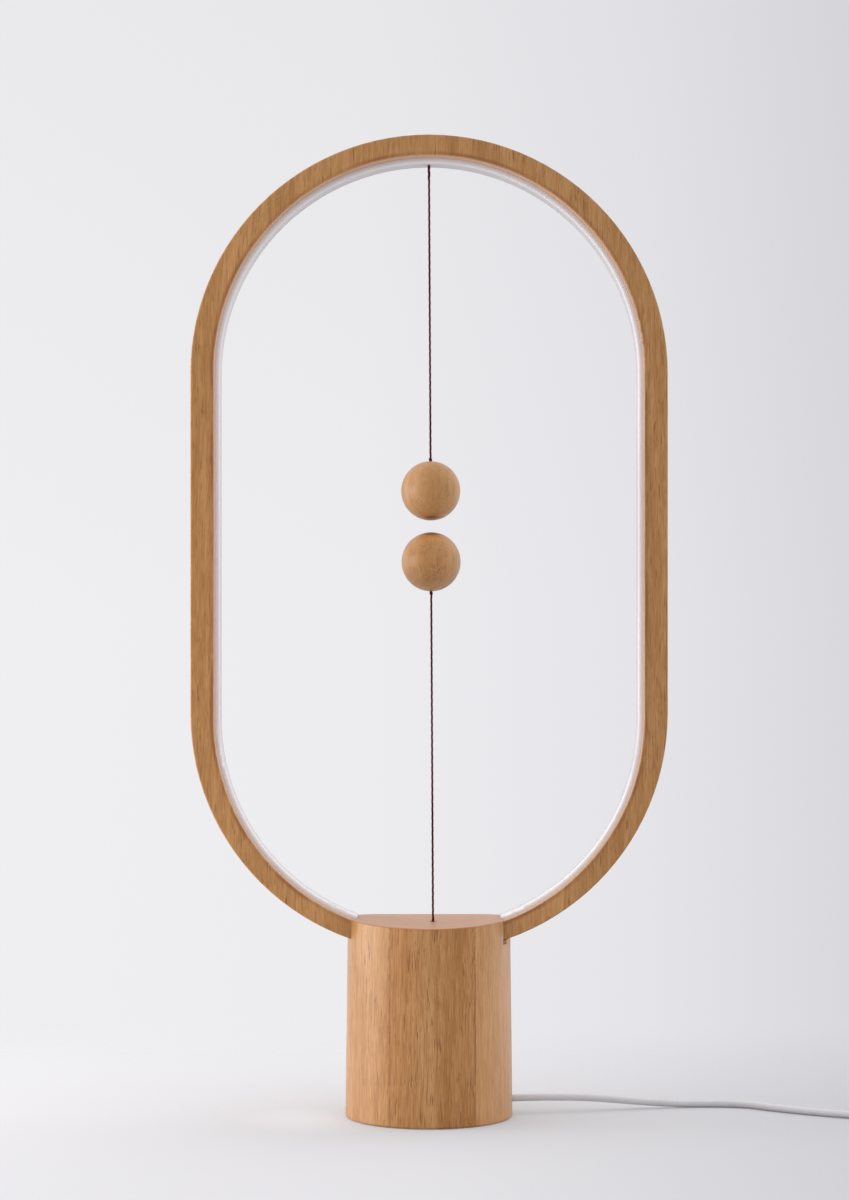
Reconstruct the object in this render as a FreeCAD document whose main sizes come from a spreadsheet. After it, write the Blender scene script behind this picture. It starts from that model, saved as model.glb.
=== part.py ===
import FreeCAD, Part
import math
import os

import Sketcher
from FreeCAD import Placement, Rotation, Vector

# A desk lamp: an upright wooden ring on a round wooden base, with a light strip round its inside.
# Two wooden balls with magnets hang on threads from the top of the ring and from the base. When they
# are brought together they hold each other up without touching, and the lower thread pulls a switch.
#
# Frame: origin at the centre of the foot, on the table. +Z up, +X to the right along the ring,
# +Y to the back. Millimetres and degrees.

SIZES = (
    # Ring
    ("ring_width", 200.0),
    ("ring_height", 342.4),
    ("ring_depth", 22.0),
    ("ring_seat_depth", 12.0),
    ("ring_side_wall", 10.0),
    ("ring_top_wall", 8.8),
    ("ring_foot_wall", 7.6),
    ("ring_edge_radius", 0.7),
    # Light strip and its cover
    ("diffuser_width", 10.5),
    ("diffuser_proud", 2.0),
    ("diffuser_edge_radius", 1.2),
    ("diffuser_gap_half_width", 30.2),
    ("diffuser_seat_depth", 1.4),
    ("channel_width", 8.6),
    ("channel_depth", 5.0),
    ("strip_width", 8.0),
    ("strip_thickness", 0.7),
    ("strip_gap", 0.12),
    ("strip_top_gap", 6.0),
    ("strip_foot_gap", 9.2),
    ("chip_length", 3.5),
    ("chip_width", 2.8),
    ("chip_height", 0.8),
    ("chip_pitch", 16.6),
    # Base
    ("base_height", 82.0),
    ("base_foot_radius", 35.3),
    ("base_top_radius", 34.3),
    ("base_top_dip", 1.9),
    ("base_edge_radius", 0.8),
    ("base_floor_gap", 0.15),
    ("cavity_wall", 10.3),
    ("base_crown", 24.0),
    ("base_wall", 4.3),
    ("cover_thickness", 2.4),
    ("foot_pad_thickness", 1.6),
    ("foot_pad_margin", 1.5),
    ("saddle_length", 62.0),
    ("mouth_trim_x", 30.9),
    ("mouth_trim_depth", 8.4),
    # Ballast and circuit board
    ("works_height", 42.0),
    ("cable_notch_width", 6.0),
    ("cable_notch_depth", 12.5),
    ("standoff_height", 5.4),
    ("standoff_width", 5.5),
    ("standoff_inset", 3.5),
    ("board_margin", 2.5),
    ("board_thickness", 1.6),
    # Screws
    ("cover_screw_inset", 3.0),
    ("cover_screw_radius", 1.2),
    ("cover_screw_length", 9.0),
    ("ballast_screw_circle", 13.0),
    ("ballast_screw_radius", 1.5),
    ("ballast_screw_length", 8.0),
    ("ring_screw_x", 18.0),
    ("ring_screw_y", 7.6),
    ("ring_screw_radius", 1.4),
    ("ring_screw_depth", 5.0),
    ("board_screw_radius", 1.2),
    ("board_screw_length", 5.5),
    ("frame_screw_radius", 1.2),
    ("frame_screw_length", 9.0),
    # Threads, knots and balls
    ("thread_radius", 0.38),
    ("exit_offset", 1.7),
    ("exit_hole_radius", 1.7),
    ("exit_depth", 0.8),
    ("anchor_hang", 0.6),
    ("exit_knot_radius", 0.7),
    ("stop_knot_radius", 0.75),
    ("ball_knot_radius", 0.8),
    ("ball_radius", 12.5),
    ("upper_ball_hang", 137.0),
    ("ball_gap", 5.0),
    ("magnet_radius", 6.0),
    ("magnet_height", 5.0),
    ("plug_thickness", 2.8),
    ("crimp_radius", 1.3),
    ("crimp_height", 1.8),
    ("guide_radius", 2.0),
    ("guide_bore_radius", 0.6),
    ("anchor_radius", 2.4),
    ("anchor_length", 4.4),
    # Switch
    ("pull_travel", 3.0),
    ("plunger_radius", 2.0),
    ("plunger_flange_radius", 5.0),
    ("plunger_flange_height", 2.0),
    ("plunger_boss_height", 3.0),
    ("flange_drop", 17.1),
    ("frame_plate", 3.0),
    ("frame_wall", 2.5),
    ("spring_wire_radius", 0.25),
    ("spring_radius", 2.8),
    ("spring_turns", 6.0),
    ("lever_arm", 12.0),
    ("lever_thickness", 0.4),
    ("lever_width", 3.6),
    ("switch_length", 12.8),
    ("switch_height", 6.5),
    ("switch_width", 5.8),
    ("button_radius", 0.9),
    ("button_arm", 4.0),
    # Wires and cable
    ("wire_radius", 0.45),
    ("socket_height", 5.0),
    ("lead_drop", 8.0),
    ("lead_slant", 6.0),
    ("wire_hole_x", 8.0),
    ("wire_hole_radius", 1.4),
    ("cable_radius", 1.5),
    ("cable_bore_radius", 1.7),
    ("outlet_angle", 10.0),
    ("outlet_height", 6.3),
    ("grommet_radius", 2.4),
    ("coil_mean_radius", 17.5),
    ("coil_bundle_width", 12.0),
    ("coil_bundle_height", 9.0),
    ("tie_thickness", 0.45),
    ("tie_width", 4.0),
    ("clamp_length", 4.0),
    # Plug
    ("plug_angle", 18.0),
    ("plug_relief_length", 12.0),
    ("plug_body_length", 20.0),
    ("plug_body_width", 15.7),
    ("plug_body_height", 7.8),
    ("plug_shell_length", 12.0),
    ("plug_shell_width", 12.0),
    ("plug_shell_height", 4.5),
    ("plug_shell_wall", 0.35),
    # Clearances
    ("glue_gap", 0.05),
    ("slip_gap", 0.15),
    ("loose_gap", 0.5),
)

# The cable's route over the table, from the outlet to the coil, and from the coil to the plug. It leaves
# the base straight, out to CABLE_START from the lamp's axis.
CABLE_START = 50.5
CABLE_ROUTE = (
    (70.0, 12.5, 5.4), (89.5, 16.3, 3.1), (108.0, 19.5, 1.55), (125.0, 20.1, 1.55), (137.6, 17.9, 1.55),
    (146.5, 9.7, 1.55), (160.5, 0.2, 1.55), (176.0, -7.9, 1.55), (191.0, -13.9, 1.6), (207.0, -17.9, 2.0),
)
TAIL_ROUTE = ((222.6, -15.45, 2.0), (234.2, -8.9, 2.4), (246.2, -4.0, 3.9), (256.2, -0.75, 3.9))
COIL_CENTRE = (211.6, 3.6)

document = FreeCAD.newDocument("balance_lamp")
sheet = document.addObject("Spreadsheet::Sheet", "Sizes")
for row, (name, number) in enumerate(SIZES, start=1):
    sheet.set(f"A{row}", name)
    sheet.set(f"B{row}", str(number))
    sheet.setAlias(f"B{row}", name)
document.recompute()

nodes = []
bound = {}


class Size:
    """A length or an angle: its number, and the sheet expression that gives it."""

    def __init__(self, number, text):
        self.number = number
        self.text = text

    def __add__(self, other):
        other = as_size(other)
        return Size(self.number + other.number, f"({self.text} + {other.text})")

    def __sub__(self, other):
        other = as_size(other)
        return Size(self.number - other.number, f"({self.text} - {other.text})")

    def __mul__(self, other):
        other = as_size(other)
        return Size(self.number * other.number, f"({self.text} * {other.text})")

    def __truediv__(self, other):
        other = as_size(other)
        return Size(self.number / other.number, f"({self.text} / {other.text})")

    def __neg__(self):
        return Size(-self.number, f"(0 - {self.text})")

    def __radd__(self, other):
        return as_size(other) + self

    def __rsub__(self, other):
        return as_size(other) - self

    def __rmul__(self, other):
        return as_size(other) * self


def as_size(value):
    return value if isinstance(value, Size) else Size(float(value), repr(float(value)))


def root(value):
    return Size(math.sqrt(value.number), f"sqrt({value.text})")


def sine(angle):
    return Size(math.sin(math.radians(angle.number)), f"sin({angle.text} * 1 deg)")


def cosine(angle):
    return Size(math.cos(math.radians(angle.number)), f"cos({angle.text} * 1 deg)")


def bind(item, name, value):
    value = as_size(value)
    item.setExpression(name, value.text)
    bound[item.Name, name] = value.number


class Dimensions:
    """The sheet's cells, by alias."""

    def __init__(self):
        for name, number in SIZES:
            setattr(self, name, Size(number, f"Sizes.{name}"))


d = Dimensions()

# Derived sizes that several pieces share
half_depth = d.ring_depth / 2
recess_radius = d.base_foot_radius - d.base_wall
cavity_radius = d.base_foot_radius - d.cavity_wall
cover_screw_circle = recess_radius - d.cover_screw_inset
board_radius = cavity_radius - d.board_margin
standoff_circle = board_radius - d.standoff_inset
led_lead_y = board_radius * 8 / 15
switch_lead_y = board_radius * 0.4
ring_seat_height = d.base_height - d.ring_seat_depth
cavity_top = d.base_height - d.base_crown
flange_top = cavity_top - d.flange_drop
outer_radius = d.ring_width / 2
outer_low = ring_seat_height + outer_radius
outer_high = ring_seat_height + d.ring_height - outer_radius
inner_radius = outer_radius - d.ring_side_wall
inner_low = ring_seat_height + d.ring_foot_wall + inner_radius
inner_high = ring_seat_height + d.ring_height - d.ring_top_wall - inner_radius
seat_radius = inner_radius + d.diffuser_seat_depth
channel_radius = inner_radius + d.channel_depth
diffuser_outer = seat_radius - d.glue_gap
diffuser_inner = inner_radius - d.diffuser_proud
strip_outer = channel_radius - d.strip_gap
strip_inner = strip_outer - d.strip_thickness
dish_radius = d.base_top_radius * d.base_top_radius / (2 * d.base_top_dip) + d.base_top_dip / 2
cover_bottom = d.foot_pad_thickness
cover_top = cover_bottom + d.cover_thickness
ballast_height = cavity_top - cover_top - d.works_height
ballast_top = cover_top + ballast_height
board_bottom = ballast_top + d.standoff_height
board_top = board_bottom + d.board_thickness
anchor_height = inner_high + diffuser_inner - d.anchor_hang
exit_height = d.base_height - d.exit_depth
line_drop = anchor_height - exit_height
lean_angle = math.degrees(math.atan(d.exit_offset.number / line_drop.number))
lower_ball_hang = d.upper_ball_hang + 2 * d.ball_radius + d.ball_gap
magnet_depth = d.plug_thickness + d.glue_gap
bore_depth = magnet_depth + d.magnet_height + d.glue_gap
flange_bottom = flange_top - d.plunger_flange_height
plunger_bottom = flange_bottom - d.plunger_boss_height
guide_top = exit_height - d.stop_knot_radius - d.pull_travel - d.slip_gap
lever_hinge_x = d.exit_offset + d.plunger_flange_radius - 0.7 + d.lever_arm
lever_height = flange_top + 0.2 + d.lever_thickness / 2
switch_bottom = lever_height + d.lever_thickness / 2 + 0.9
switch_left = lever_hinge_x - 10.5
wall_front = d.switch_width / 2 + 0.2
flange_underside = cavity_top - d.frame_plate
shelf_bottom = flange_underside - d.frame_plate - 2


# ---------------------------------------------------------------- document helpers

def node(label, item):
    item.Label = label
    nodes.append(item)
    return item


def place(item, x=0, y=0, z=0, axis=None, angle=None):
    for letter, value in (("x", x), ("y", y), ("z", z)):
        bind(item, f"Placement.Base.{letter}", value)
    if axis is not None:
        item.Placement = Placement(item.Placement.Base, Rotation(axis, 1.0))
        bind(item, "Placement.Rotation.Angle", angle)
    return item


def part(kind, sizes, **where):
    item = document.addObject(f"Part::{kind}", kind)
    for name, value in sizes.items():
        bind(item, name, value)
    return place(item, **where)


def cylinder(radius, height, **where):
    return part("Cylinder", {"Radius": radius, "Height": height}, **where)


def cone(low_radius, high_radius, height, **where):
    return part("Cone", {"Radius1": low_radius, "Radius2": high_radius, "Height": height}, **where)


def ball(radius, **where):
    return part("Sphere", {"Radius": radius}, **where)


def box(length, width, height, x=0, y=0, z=0):
    """A box centred on x and y that stands on z."""
    length, width = as_size(length), as_size(width)
    sizes = {"Length": length, "Width": width, "Height": height}
    return part("Box", sizes, x=x - length / 2, y=y - width / 2, z=z)


def across(radius, length, **where):
    """A cylinder along Y, centred on the ring's plane."""
    return cylinder(radius, length, y=as_size(length) / 2, axis=Vector(1, 0, 0), angle=90, **where)


def cut(base, *tools):
    item = document.addObject("Part::Cut", "Cut")
    item.Base = base
    item.Tool = tools[0] if len(tools) == 1 else fuse(*tools)
    return item


def fuse(*pieces):
    item = document.addObject("Part::MultiFuse", "Fuse")
    item.Shapes = list(pieces)
    return item


def common(*pieces):
    item = document.addObject("Part::MultiCommon", "Common")
    item.Shapes = list(pieces)
    return item


def together(pieces):
    item = document.addObject("Part::Compound", "Group")
    item.Links = list(pieces)
    return item


def on_circle(radius, angle):
    angle = as_size(angle)
    return {"x": radius * cosine(angle), "y": radius * sine(angle)}


# ---------------------------------------------------------------- body and sketch helpers

def new_body(name):
    return document.addObject("PartDesign::Body", name)


def new_sketch(body, name, role):
    item = body.newObject("Sketcher::SketchObject", name)
    plane = [feature for feature in body.Origin.OriginFeatures if feature.Role == role][0]
    item.AttachmentSupport = [(plane, "")]
    item.MapMode = "FlatFace"
    return item


def pin(item, line, end, x, y):
    """Holds a sketch point at x and y from the origin."""
    for kind, axis, value in (("DistanceX", -2, as_size(x)), ("DistanceY", -1, as_size(y))):
        if value.number == 0:
            item.addConstraint(Sketcher.Constraint("PointOnObject", line, end, axis))
            continue
        index = item.addConstraint(Sketcher.Constraint(kind, -1, 1, line, end, value.number))
        bind(item, f"Constraints[{index}]", value)


def polygon(item, corners):
    flat = [Vector(as_size(x).number, as_size(y).number, 0) for x, y in corners]
    count = len(corners)
    first = item.GeometryCount
    for index in range(count):
        item.addGeometry(Part.LineSegment(flat[index], flat[(index + 1) % count]), False)
    for index in range(count):
        following = first + (index + 1) % count
        item.addConstraint(Sketcher.Constraint("Coincident", first + index, 2, following, 1))
        pin(item, first + index, 1, *corners[index])


def circle(item, radius, x, y):
    centre = Vector(as_size(x).number, as_size(y).number, 0)
    index = item.addGeometry(Part.Circle(centre, Vector(0, 0, 1), radius.number), False)
    pin(item, index, 3, x, y)
    datum = item.addConstraint(Sketcher.Constraint("Radius", index, radius.number))
    bind(item, f"Constraints[{datum}]", radius)


def stadium(item, radius, low, high):
    """Two half circles about (0, low) and (0, high), joined by upright lines."""
    r, z_low, z_high = radius.number, low.number, high.number
    first = item.GeometryCount
    right, top, left, foot = range(first, first + 4)
    up = Vector(0, 0, 1)
    item.addGeometry(Part.LineSegment(Vector(r, z_low, 0), Vector(r, z_high, 0)), False)
    item.addGeometry(Part.ArcOfCircle(Part.Circle(Vector(0, z_high, 0), up, r), 0, math.pi), False)
    item.addGeometry(Part.LineSegment(Vector(-r, z_high, 0), Vector(-r, z_low, 0)), False)
    item.addGeometry(Part.ArcOfCircle(Part.Circle(Vector(0, z_low, 0), up, r), math.pi, 2 * math.pi), False)
    for one, one_end, other, other_end in ((right, 2, top, 1), (top, 2, left, 1), (left, 2, foot, 1),
                                           (foot, 2, right, 1)):
        item.addConstraint(Sketcher.Constraint("Tangent", one, one_end, other, other_end))
    for arc, height in ((top, high), (foot, low)):
        pin(item, arc, 3, 0, height)
        datum = item.addConstraint(Sketcher.Constraint("Radius", arc, r))
        bind(item, f"Constraints[{datum}]", radius)


def revolve(body, corners):
    profile = new_sketch(body, "Profile", "XZ_Plane")
    polygon(profile, corners)
    item = body.newObject("PartDesign::Revolution", "Turned")
    item.Profile = profile
    item.ReferenceAxis = (profile, ["V_Axis"])
    item.Angle = 360.0
    return item


def extrude(body, kind, profile, length):
    """Pads or pockets an XZ sketch evenly to both sides of the ring's plane."""
    item = body.newObject(f"PartDesign::{kind}", kind)
    item.Profile = profile
    item.SideType = "Symmetric"
    bind(item, "Length", length)
    return item


def round_edges(body, feature, radius, wanted):
    """Rounds the edges of the feature's shape for which wanted(edge) holds."""
    document.recompute()
    names = [f"Edge{index + 1}" for index, edge in enumerate(feature.Shape.Edges) if wanted(edge)]
    item = body.newObject("PartDesign::Fillet", "Rounded")
    item.Base = (feature, names)
    bind(item, "Radius", radius)
    return item


# ---------------------------------------------------------------- bent tubes

def tube_path(points, longest_reach):
    """Straight runs joined by tangent arcs. Gives the path and its tightest radius."""
    points = [Vector(*point) for point in points]
    edges = []
    start = points[0]
    tightest = None
    for before, corner, after in zip(points, points[1:], points[2:]):
        into = (corner - before).normalize()
        out = (after - corner).normalize()
        half_turn = into.getAngle(out) / 2
        reach = min(longest_reach, 0.45 * min((corner - before).Length, (after - corner).Length))
        bend = reach / math.tan(half_turn)
        tightest = bend if tightest is None else min(tightest, bend)
        arc_start = corner - into * reach
        arc_end = corner + out * reach
        inward = (out - into).normalize()
        middle = corner + inward * (bend / math.cos(half_turn) - bend)
        edges.append(Part.LineSegment(start, arc_start).toShape())
        edges.append(Part.Arc(arc_start, middle, arc_end).toShape())
        start = arc_end
    edges.append(Part.LineSegment(start, points[-1]).toShape())
    path = Part.Wire(edges)
    return path, tightest


def tube(label, routes, radius, longest_reach=1000):
    """One swept tube for each route."""
    solids = []
    for route in routes:
        path, tightest = tube_path(route, longest_reach)
        heading = Vector(*route[1]) - Vector(*route[0])
        rim = Part.Wire(Part.makeCircle(radius.number, Vector(*route[0]), heading))
        solid = path.makePipeShell([rim], True, False)
        whole = math.pi * radius.number ** 2 * path.Length
        if tightest is not None:
            print(f"{label}: length {path.Length:.1f}, tightest radius {tightest:.1f}, "
                  f"volume {solid.Volume / whole:.4f} of section times length")
        solids.append(solid)
    item = document.addObject("Part::Feature", "Tube")
    item.Shape = solids[0] if len(solids) == 1 else Part.makeCompound(solids)
    return item


# ---------------------------------------------------------------- base

def make_base():
    body = new_body("BaseTurned")
    top = d.base_height + d.base_top_dip
    turned = revolve(body, [
        (0, cavity_top), (cavity_radius, cavity_top), (cavity_radius, cover_top),
        (recess_radius, cover_top), (recess_radius, d.base_floor_gap),
        (d.base_foot_radius, d.base_floor_gap), (d.base_top_radius, top), (0, top)])
    dish = new_sketch(body, "Dish", "XZ_Plane")
    circle(dish, dish_radius, 0, d.base_height + dish_radius)
    dished = extrude(body, "Pocket", dish, 3 * d.base_foot_radius)
    foot_z = d.base_floor_gap.number
    cavity = cavity_top.number

    def rim(edge):
        reach = edge.BoundBox
        outer = max(abs(reach.XMin), abs(reach.XMax)) > d.base_top_radius.number - 0.1
        at_foot = abs(reach.ZMax - foot_z) < 0.01 and abs(reach.ZMin - foot_z) < 0.01
        at_top = reach.ZMin > cavity and reach.ZLength < d.base_top_dip.number + 0.5
        return outer and (at_foot or at_top)

    round_edges(body, dished, d.base_edge_radius, rim)

    slot = across(outer_radius + d.glue_gap, d.ring_depth + 2 * d.glue_gap, z=outer_low)
    tools = [slot]
    ceiling = cavity_top - 1
    tools.append(cylinder(d.guide_radius + d.glue_gap, d.base_crown, x=d.exit_offset, z=ceiling))
    for side in (-1, 1):
        tools.append(cylinder(d.wire_hole_radius, d.base_crown, x=side * d.wire_hole_x, z=ceiling))
    for x, y in ring_screw_places():
        tools.append(cylinder(d.ring_screw_radius + d.slip_gap, d.base_crown, x=x, y=y, z=ceiling))
        tools.append(cylinder(d.ring_screw_radius * 2 + d.slip_gap, 4, x=x, y=y, z=ceiling))
    for angle in cover_screw_angles():
        spot = on_circle(cover_screw_circle, angle)
        pilot = d.cover_screw_radius + d.glue_gap
        tools.append(cylinder(pilot, d.cover_screw_length, z=cover_top - 1, **spot))
    for x, y in frame_screw_places():
        pilot = d.frame_screw_radius + d.glue_gap
        tools.append(cylinder(pilot, d.frame_screw_length - d.frame_plate + 1.5, x=x, y=y, z=ceiling))
    outlet_start = cavity_radius - 3
    tools.append(outlet_cylinder(d.cable_bore_radius, outlet_start, d.base_foot_radius + 2 - outlet_start))
    tools.append(outlet_cylinder(d.grommet_radius + d.glue_gap, grommet_start(), d.base_foot_radius))
    tools.append(mouth_trim())
    return node("base_body", cut(body, *tools))


def mouth_trim():
    """The front lip of the ring's slot is cut back at its right end."""
    reach = d.base_foot_radius / 2
    start = -(half_depth + d.glue_gap)
    return part("Box", {"Length": reach, "Width": reach, "Height": d.base_crown}, x=d.mouth_trim_x,
                y=start - reach, z=d.base_height - d.mouth_trim_depth)


def grommet_start():
    return recess_radius + 0.4


def outlet_cylinder(radius, start, length):
    """A round bar along the cable outlet, from a distance off the lamp's axis outwards."""
    start = as_size(start)
    bar = cylinder(radius, length)
    along = math.radians(d.outlet_angle.number)
    direction = Vector(math.cos(along), math.sin(along), 0)
    bar.Placement = Placement(Vector(), Rotation(Vector(0, 0, 1), direction))
    bind(bar, "Placement.Base.x", start * cosine(d.outlet_angle))
    bind(bar, "Placement.Base.y", start * sine(d.outlet_angle))
    bind(bar, "Placement.Base.z", d.outlet_height)
    return bar


def ring_screw_places():
    return [(side_x * d.ring_screw_x, side_y * d.ring_screw_y) for side_x in (-1, 1) for side_y in (-1, 1)]


def frame_screw_places():
    return [(d.exit_offset - 11.2, as_size(-4.5)), (d.exit_offset + 11.8, as_size(-4.5))]


def cover_screw_angles():
    return (100, 220, 340)


def standoff_angles():
    return (70, 190, 305)


def ballast_screw_angles():
    return (130, 250)


def make_saddle():
    blank = box(d.saddle_length, d.ring_depth - 2 * d.glue_gap, 14, z=ring_seat_height + 4)
    inside_ring = across(inner_radius - d.glue_gap, d.ring_depth, z=inner_low)
    dish = across(dish_radius, d.ring_depth + 2, z=d.base_height + dish_radius)
    block = cut(common(blank, inside_ring), dish, *saddle_reliefs())
    hole = cylinder(d.exit_hole_radius, 20, x=d.exit_offset, z=ring_seat_height)
    return node("saddle_block", cut(block, hole))


def saddle_reliefs():
    """Room for the two ends of the diffuser."""
    keep = across(diffuser_inner - d.slip_gap, d.ring_depth + 4, z=inner_low)
    reliefs = []
    reach = d.saddle_length / 2 + 2
    start = d.diffuser_gap_half_width - d.slip_gap
    for side in (-1, 1):
        middle = side * (reach + start) / 2
        block = box(reach - start, d.diffuser_width + 2 * d.slip_gap, 20, x=middle, z=ring_seat_height)
        reliefs.append(cut(block, keep))
    return reliefs


def make_foot():
    cover = cylinder(recess_radius - d.slip_gap, d.cover_thickness - d.glue_gap, z=cover_bottom)
    tools = []
    for spot, radius in screw_spots():
        tools.append(cylinder(radius + d.slip_gap, 6, z=cover_bottom - 1, **spot))
        tools.append(cone(radius * 2 + d.slip_gap, radius + d.slip_gap, 1.6, z=cover_bottom, **spot))
    node("bottom_cover", cut(cover, *tools))
    node("foot_pad", cylinder(recess_radius - d.foot_pad_margin, d.foot_pad_thickness - d.glue_gap))
    spots = [on_circle(cover_screw_circle, angle) for angle in cover_screw_angles()]
    node("cover_screws", together([flat_screw(d.cover_screw_radius, d.cover_screw_length, spot)
                                   for spot in spots]))
    spots = [on_circle(d.ballast_screw_circle, angle) for angle in ballast_screw_angles()]
    node("ballast_screws", together([flat_screw(d.ballast_screw_radius, d.ballast_screw_length, spot)
                                     for spot in spots]))


def screw_spots():
    spots = [(on_circle(cover_screw_circle, angle), d.cover_screw_radius)
             for angle in cover_screw_angles()]
    return spots + [(on_circle(d.ballast_screw_circle, angle), d.ballast_screw_radius)
                    for angle in ballast_screw_angles()]


def flat_screw(radius, length, spot):
    """A countersunk screw that points up from the cover's underside, with a cross recess."""
    head = cone(radius * 2, radius, 1.6, z=cover_bottom + d.glue_gap, **spot)
    shank = cylinder(radius, length, z=cover_bottom + d.glue_gap, **spot)
    recess = cross_recess(radius, cover_bottom - 0.5, 1.3, spot)
    return cut(fuse(head, shank), recess)


def cross_recess(radius, z, height, spot):
    return fuse(box(radius * 2, radius * 0.5, height, z=z, **spot),
                box(radius * 0.5, radius * 2, height, z=z, **spot))


def make_ballast():
    disc = cylinder(cavity_radius - d.loose_gap, ballast_height - d.glue_gap, z=cover_top)
    depth = d.cable_notch_depth + 4
    notch = part("Box", {"Length": depth, "Width": d.cable_notch_width, "Height": ballast_height + 2})
    turn_to_outlet(notch, cavity_radius - d.cable_notch_depth, d.cable_notch_width, cover_top - 1)
    tools = [notch]
    for angle in standoff_angles():
        spot = on_circle(standoff_circle, angle)
        tools.append(cylinder(d.board_screw_radius + d.glue_gap, 5, z=ballast_top - 3.2, **spot))
    for angle in ballast_screw_angles():
        spot = on_circle(d.ballast_screw_circle, angle)
        tools.append(cylinder(d.ballast_screw_radius + d.glue_gap, 8, z=cover_top - 1, **spot))
    node("ballast_weight", cut(disc, *tools))


def turn_to_outlet(item, start, width, z):
    """Lays a box along the outlet's direction, from a distance off the lamp's axis."""
    start, width = as_size(start), as_size(width)
    angle = d.outlet_angle
    place(item, x=start * cosine(angle) + width / 2 * sine(angle),
          y=start * sine(angle) - width / 2 * cosine(angle), z=z, axis=Vector(0, 0, 1), angle=angle)


# ---------------------------------------------------------------- circuit board

def make_board():
    board = cylinder(board_radius, d.board_thickness, z=board_bottom)
    notch = part("Box", {"Length": d.cable_notch_depth + 4, "Width": d.cable_notch_width,
                         "Height": d.board_thickness + 2})
    turn_to_outlet(notch, cavity_radius - d.cable_notch_depth, d.cable_notch_width, board_bottom - 1)
    holes = [cylinder(d.board_screw_radius + d.slip_gap, 4, z=board_bottom - 1,
                      **on_circle(standoff_circle, angle)) for angle in standoff_angles()]
    node("circuit_board", cut(board, notch, *holes))

    posts = []
    screws = []
    for angle in standoff_angles():
        spot = on_circle(standoff_circle, angle)
        sizes = {"Circumradius": d.standoff_width / 2, "Height": d.standoff_height - d.glue_gap}
        flats = part("Prism", sizes, z=ballast_top, **spot)
        flats.Polygon = 6
        stud = cylinder(d.board_screw_radius, 4, z=ballast_top - 3, **spot)
        bore = cylinder(d.board_screw_radius + d.glue_gap, 10, z=ballast_top + 0.6, **spot)
        posts.append(cut(fuse(flats, stud), bore))
        head = cylinder(d.board_screw_radius * 1.9, 1.6, z=board_top, **spot)
        length = d.board_screw_length
        shank = cylinder(d.board_screw_radius, length + 0.5, z=board_top - length, **spot)
        screws.append(cut(fuse(head, shank), cross_recess(d.board_screw_radius, board_top + 0.8, 2, spot)))
    node("board_standoffs", together(posts))
    node("board_screws", together(screws))

    reach = board_radius
    chips = [box(6, 5, 1.6, x=power_plug_x() - 7, y=reach * 0.09, z=board_top),
             box(7, 7, 4, x=0, y=reach * -0.66, z=board_top),
             cylinder(3.15, 7.5, x=reach * -0.49, y=reach * -0.4, z=board_top),
             box(4.5, 2.6, 2.2, x=reach * 0.18, y=reach * 0.56, z=board_top)]
    for index in range(4):
        chips.append(box(2, 1.2, 0.6, x=-2 + 3.5 * index, y=reach * 0.38, z=board_top))
    node("driver_components", together(chips))

    holders = [box(6, 5, 6, x=power_plug_x(), y=power_plug_y(), z=board_top)]
    for x, y, width in ((-d.wire_hole_x, led_lead_y, 5), (d.wire_hole_x, -switch_lead_y, 5),
                        (switch_lead_x(), -switch_lead_y, 6)):
        holders.append(box(width, 4.5, d.socket_height, x=x, y=y, z=board_top))
    node("board_connectors", together(holders))


def riser():
    """Distance of the cable's upright run from the lamp's axis."""
    return cavity_radius - d.cable_notch_depth + d.cable_radius + d.loose_gap


def power_plug_x():
    return riser() * cosine(d.outlet_angle) - 14


def power_plug_y():
    return riser() * sine(d.outlet_angle)


def switch_lead_x():
    return terminal_x(1) + 1.75


# ---------------------------------------------------------------- ring and light

def make_ring():
    body = new_body("RingWood")
    loop = new_sketch(body, "Loop", "XZ_Plane")
    stadium(loop, outer_radius, outer_low, outer_high)
    stadium(loop, inner_radius, inner_low, inner_high)
    wood = extrude(body, "Pad", loop, d.ring_depth)
    reach = half_depth.number

    def long_edge(edge):
        return abs(abs(edge.BoundBox.Center.y) - reach) < 0.01 and edge.BoundBox.YLength < 0.01

    round_edges(body, wood, d.ring_edge_radius, long_edge)
    seat = new_sketch(body, "Seat", "XZ_Plane")
    stadium(seat, seat_radius, inner_low, inner_high)
    extrude(body, "Pocket", seat, d.diffuser_width + 2 * d.glue_gap)
    channel = new_sketch(body, "Channel", "XZ_Plane")
    stadium(channel, channel_radius, inner_low, inner_high)
    extrude(body, "Pocket", channel, d.channel_width)

    tools = [cylinder(d.guide_radius + d.glue_gap, 12, x=d.exit_offset, z=ring_seat_height - 2)]
    for side in (-1, 1):
        tools.append(cylinder(d.wire_hole_radius, 8, x=side * d.wire_hole_x, z=ring_seat_height - 2))
    pilot = ring_screw_height() + d.ring_screw_depth + 1
    for x, y in ring_screw_places():
        tools.append(cylinder(d.ring_screw_radius + d.glue_gap, pilot - ring_seat_height + 2,
                              x=x, y=y, z=ring_seat_height - 2))
    tools.append(cylinder(d.anchor_radius + d.glue_gap, anchor_top() + d.glue_gap - inner_high,
                          z=inner_high))
    return node("ring_frame", cut(body, *tools))


def ring_screw_height():
    """Height of the ring's outside over the ring screws."""
    return outer_low - root(outer_radius * outer_radius - d.ring_screw_x * d.ring_screw_x)


def anchor_top():
    return inner_high + channel_radius + 2.2


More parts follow.
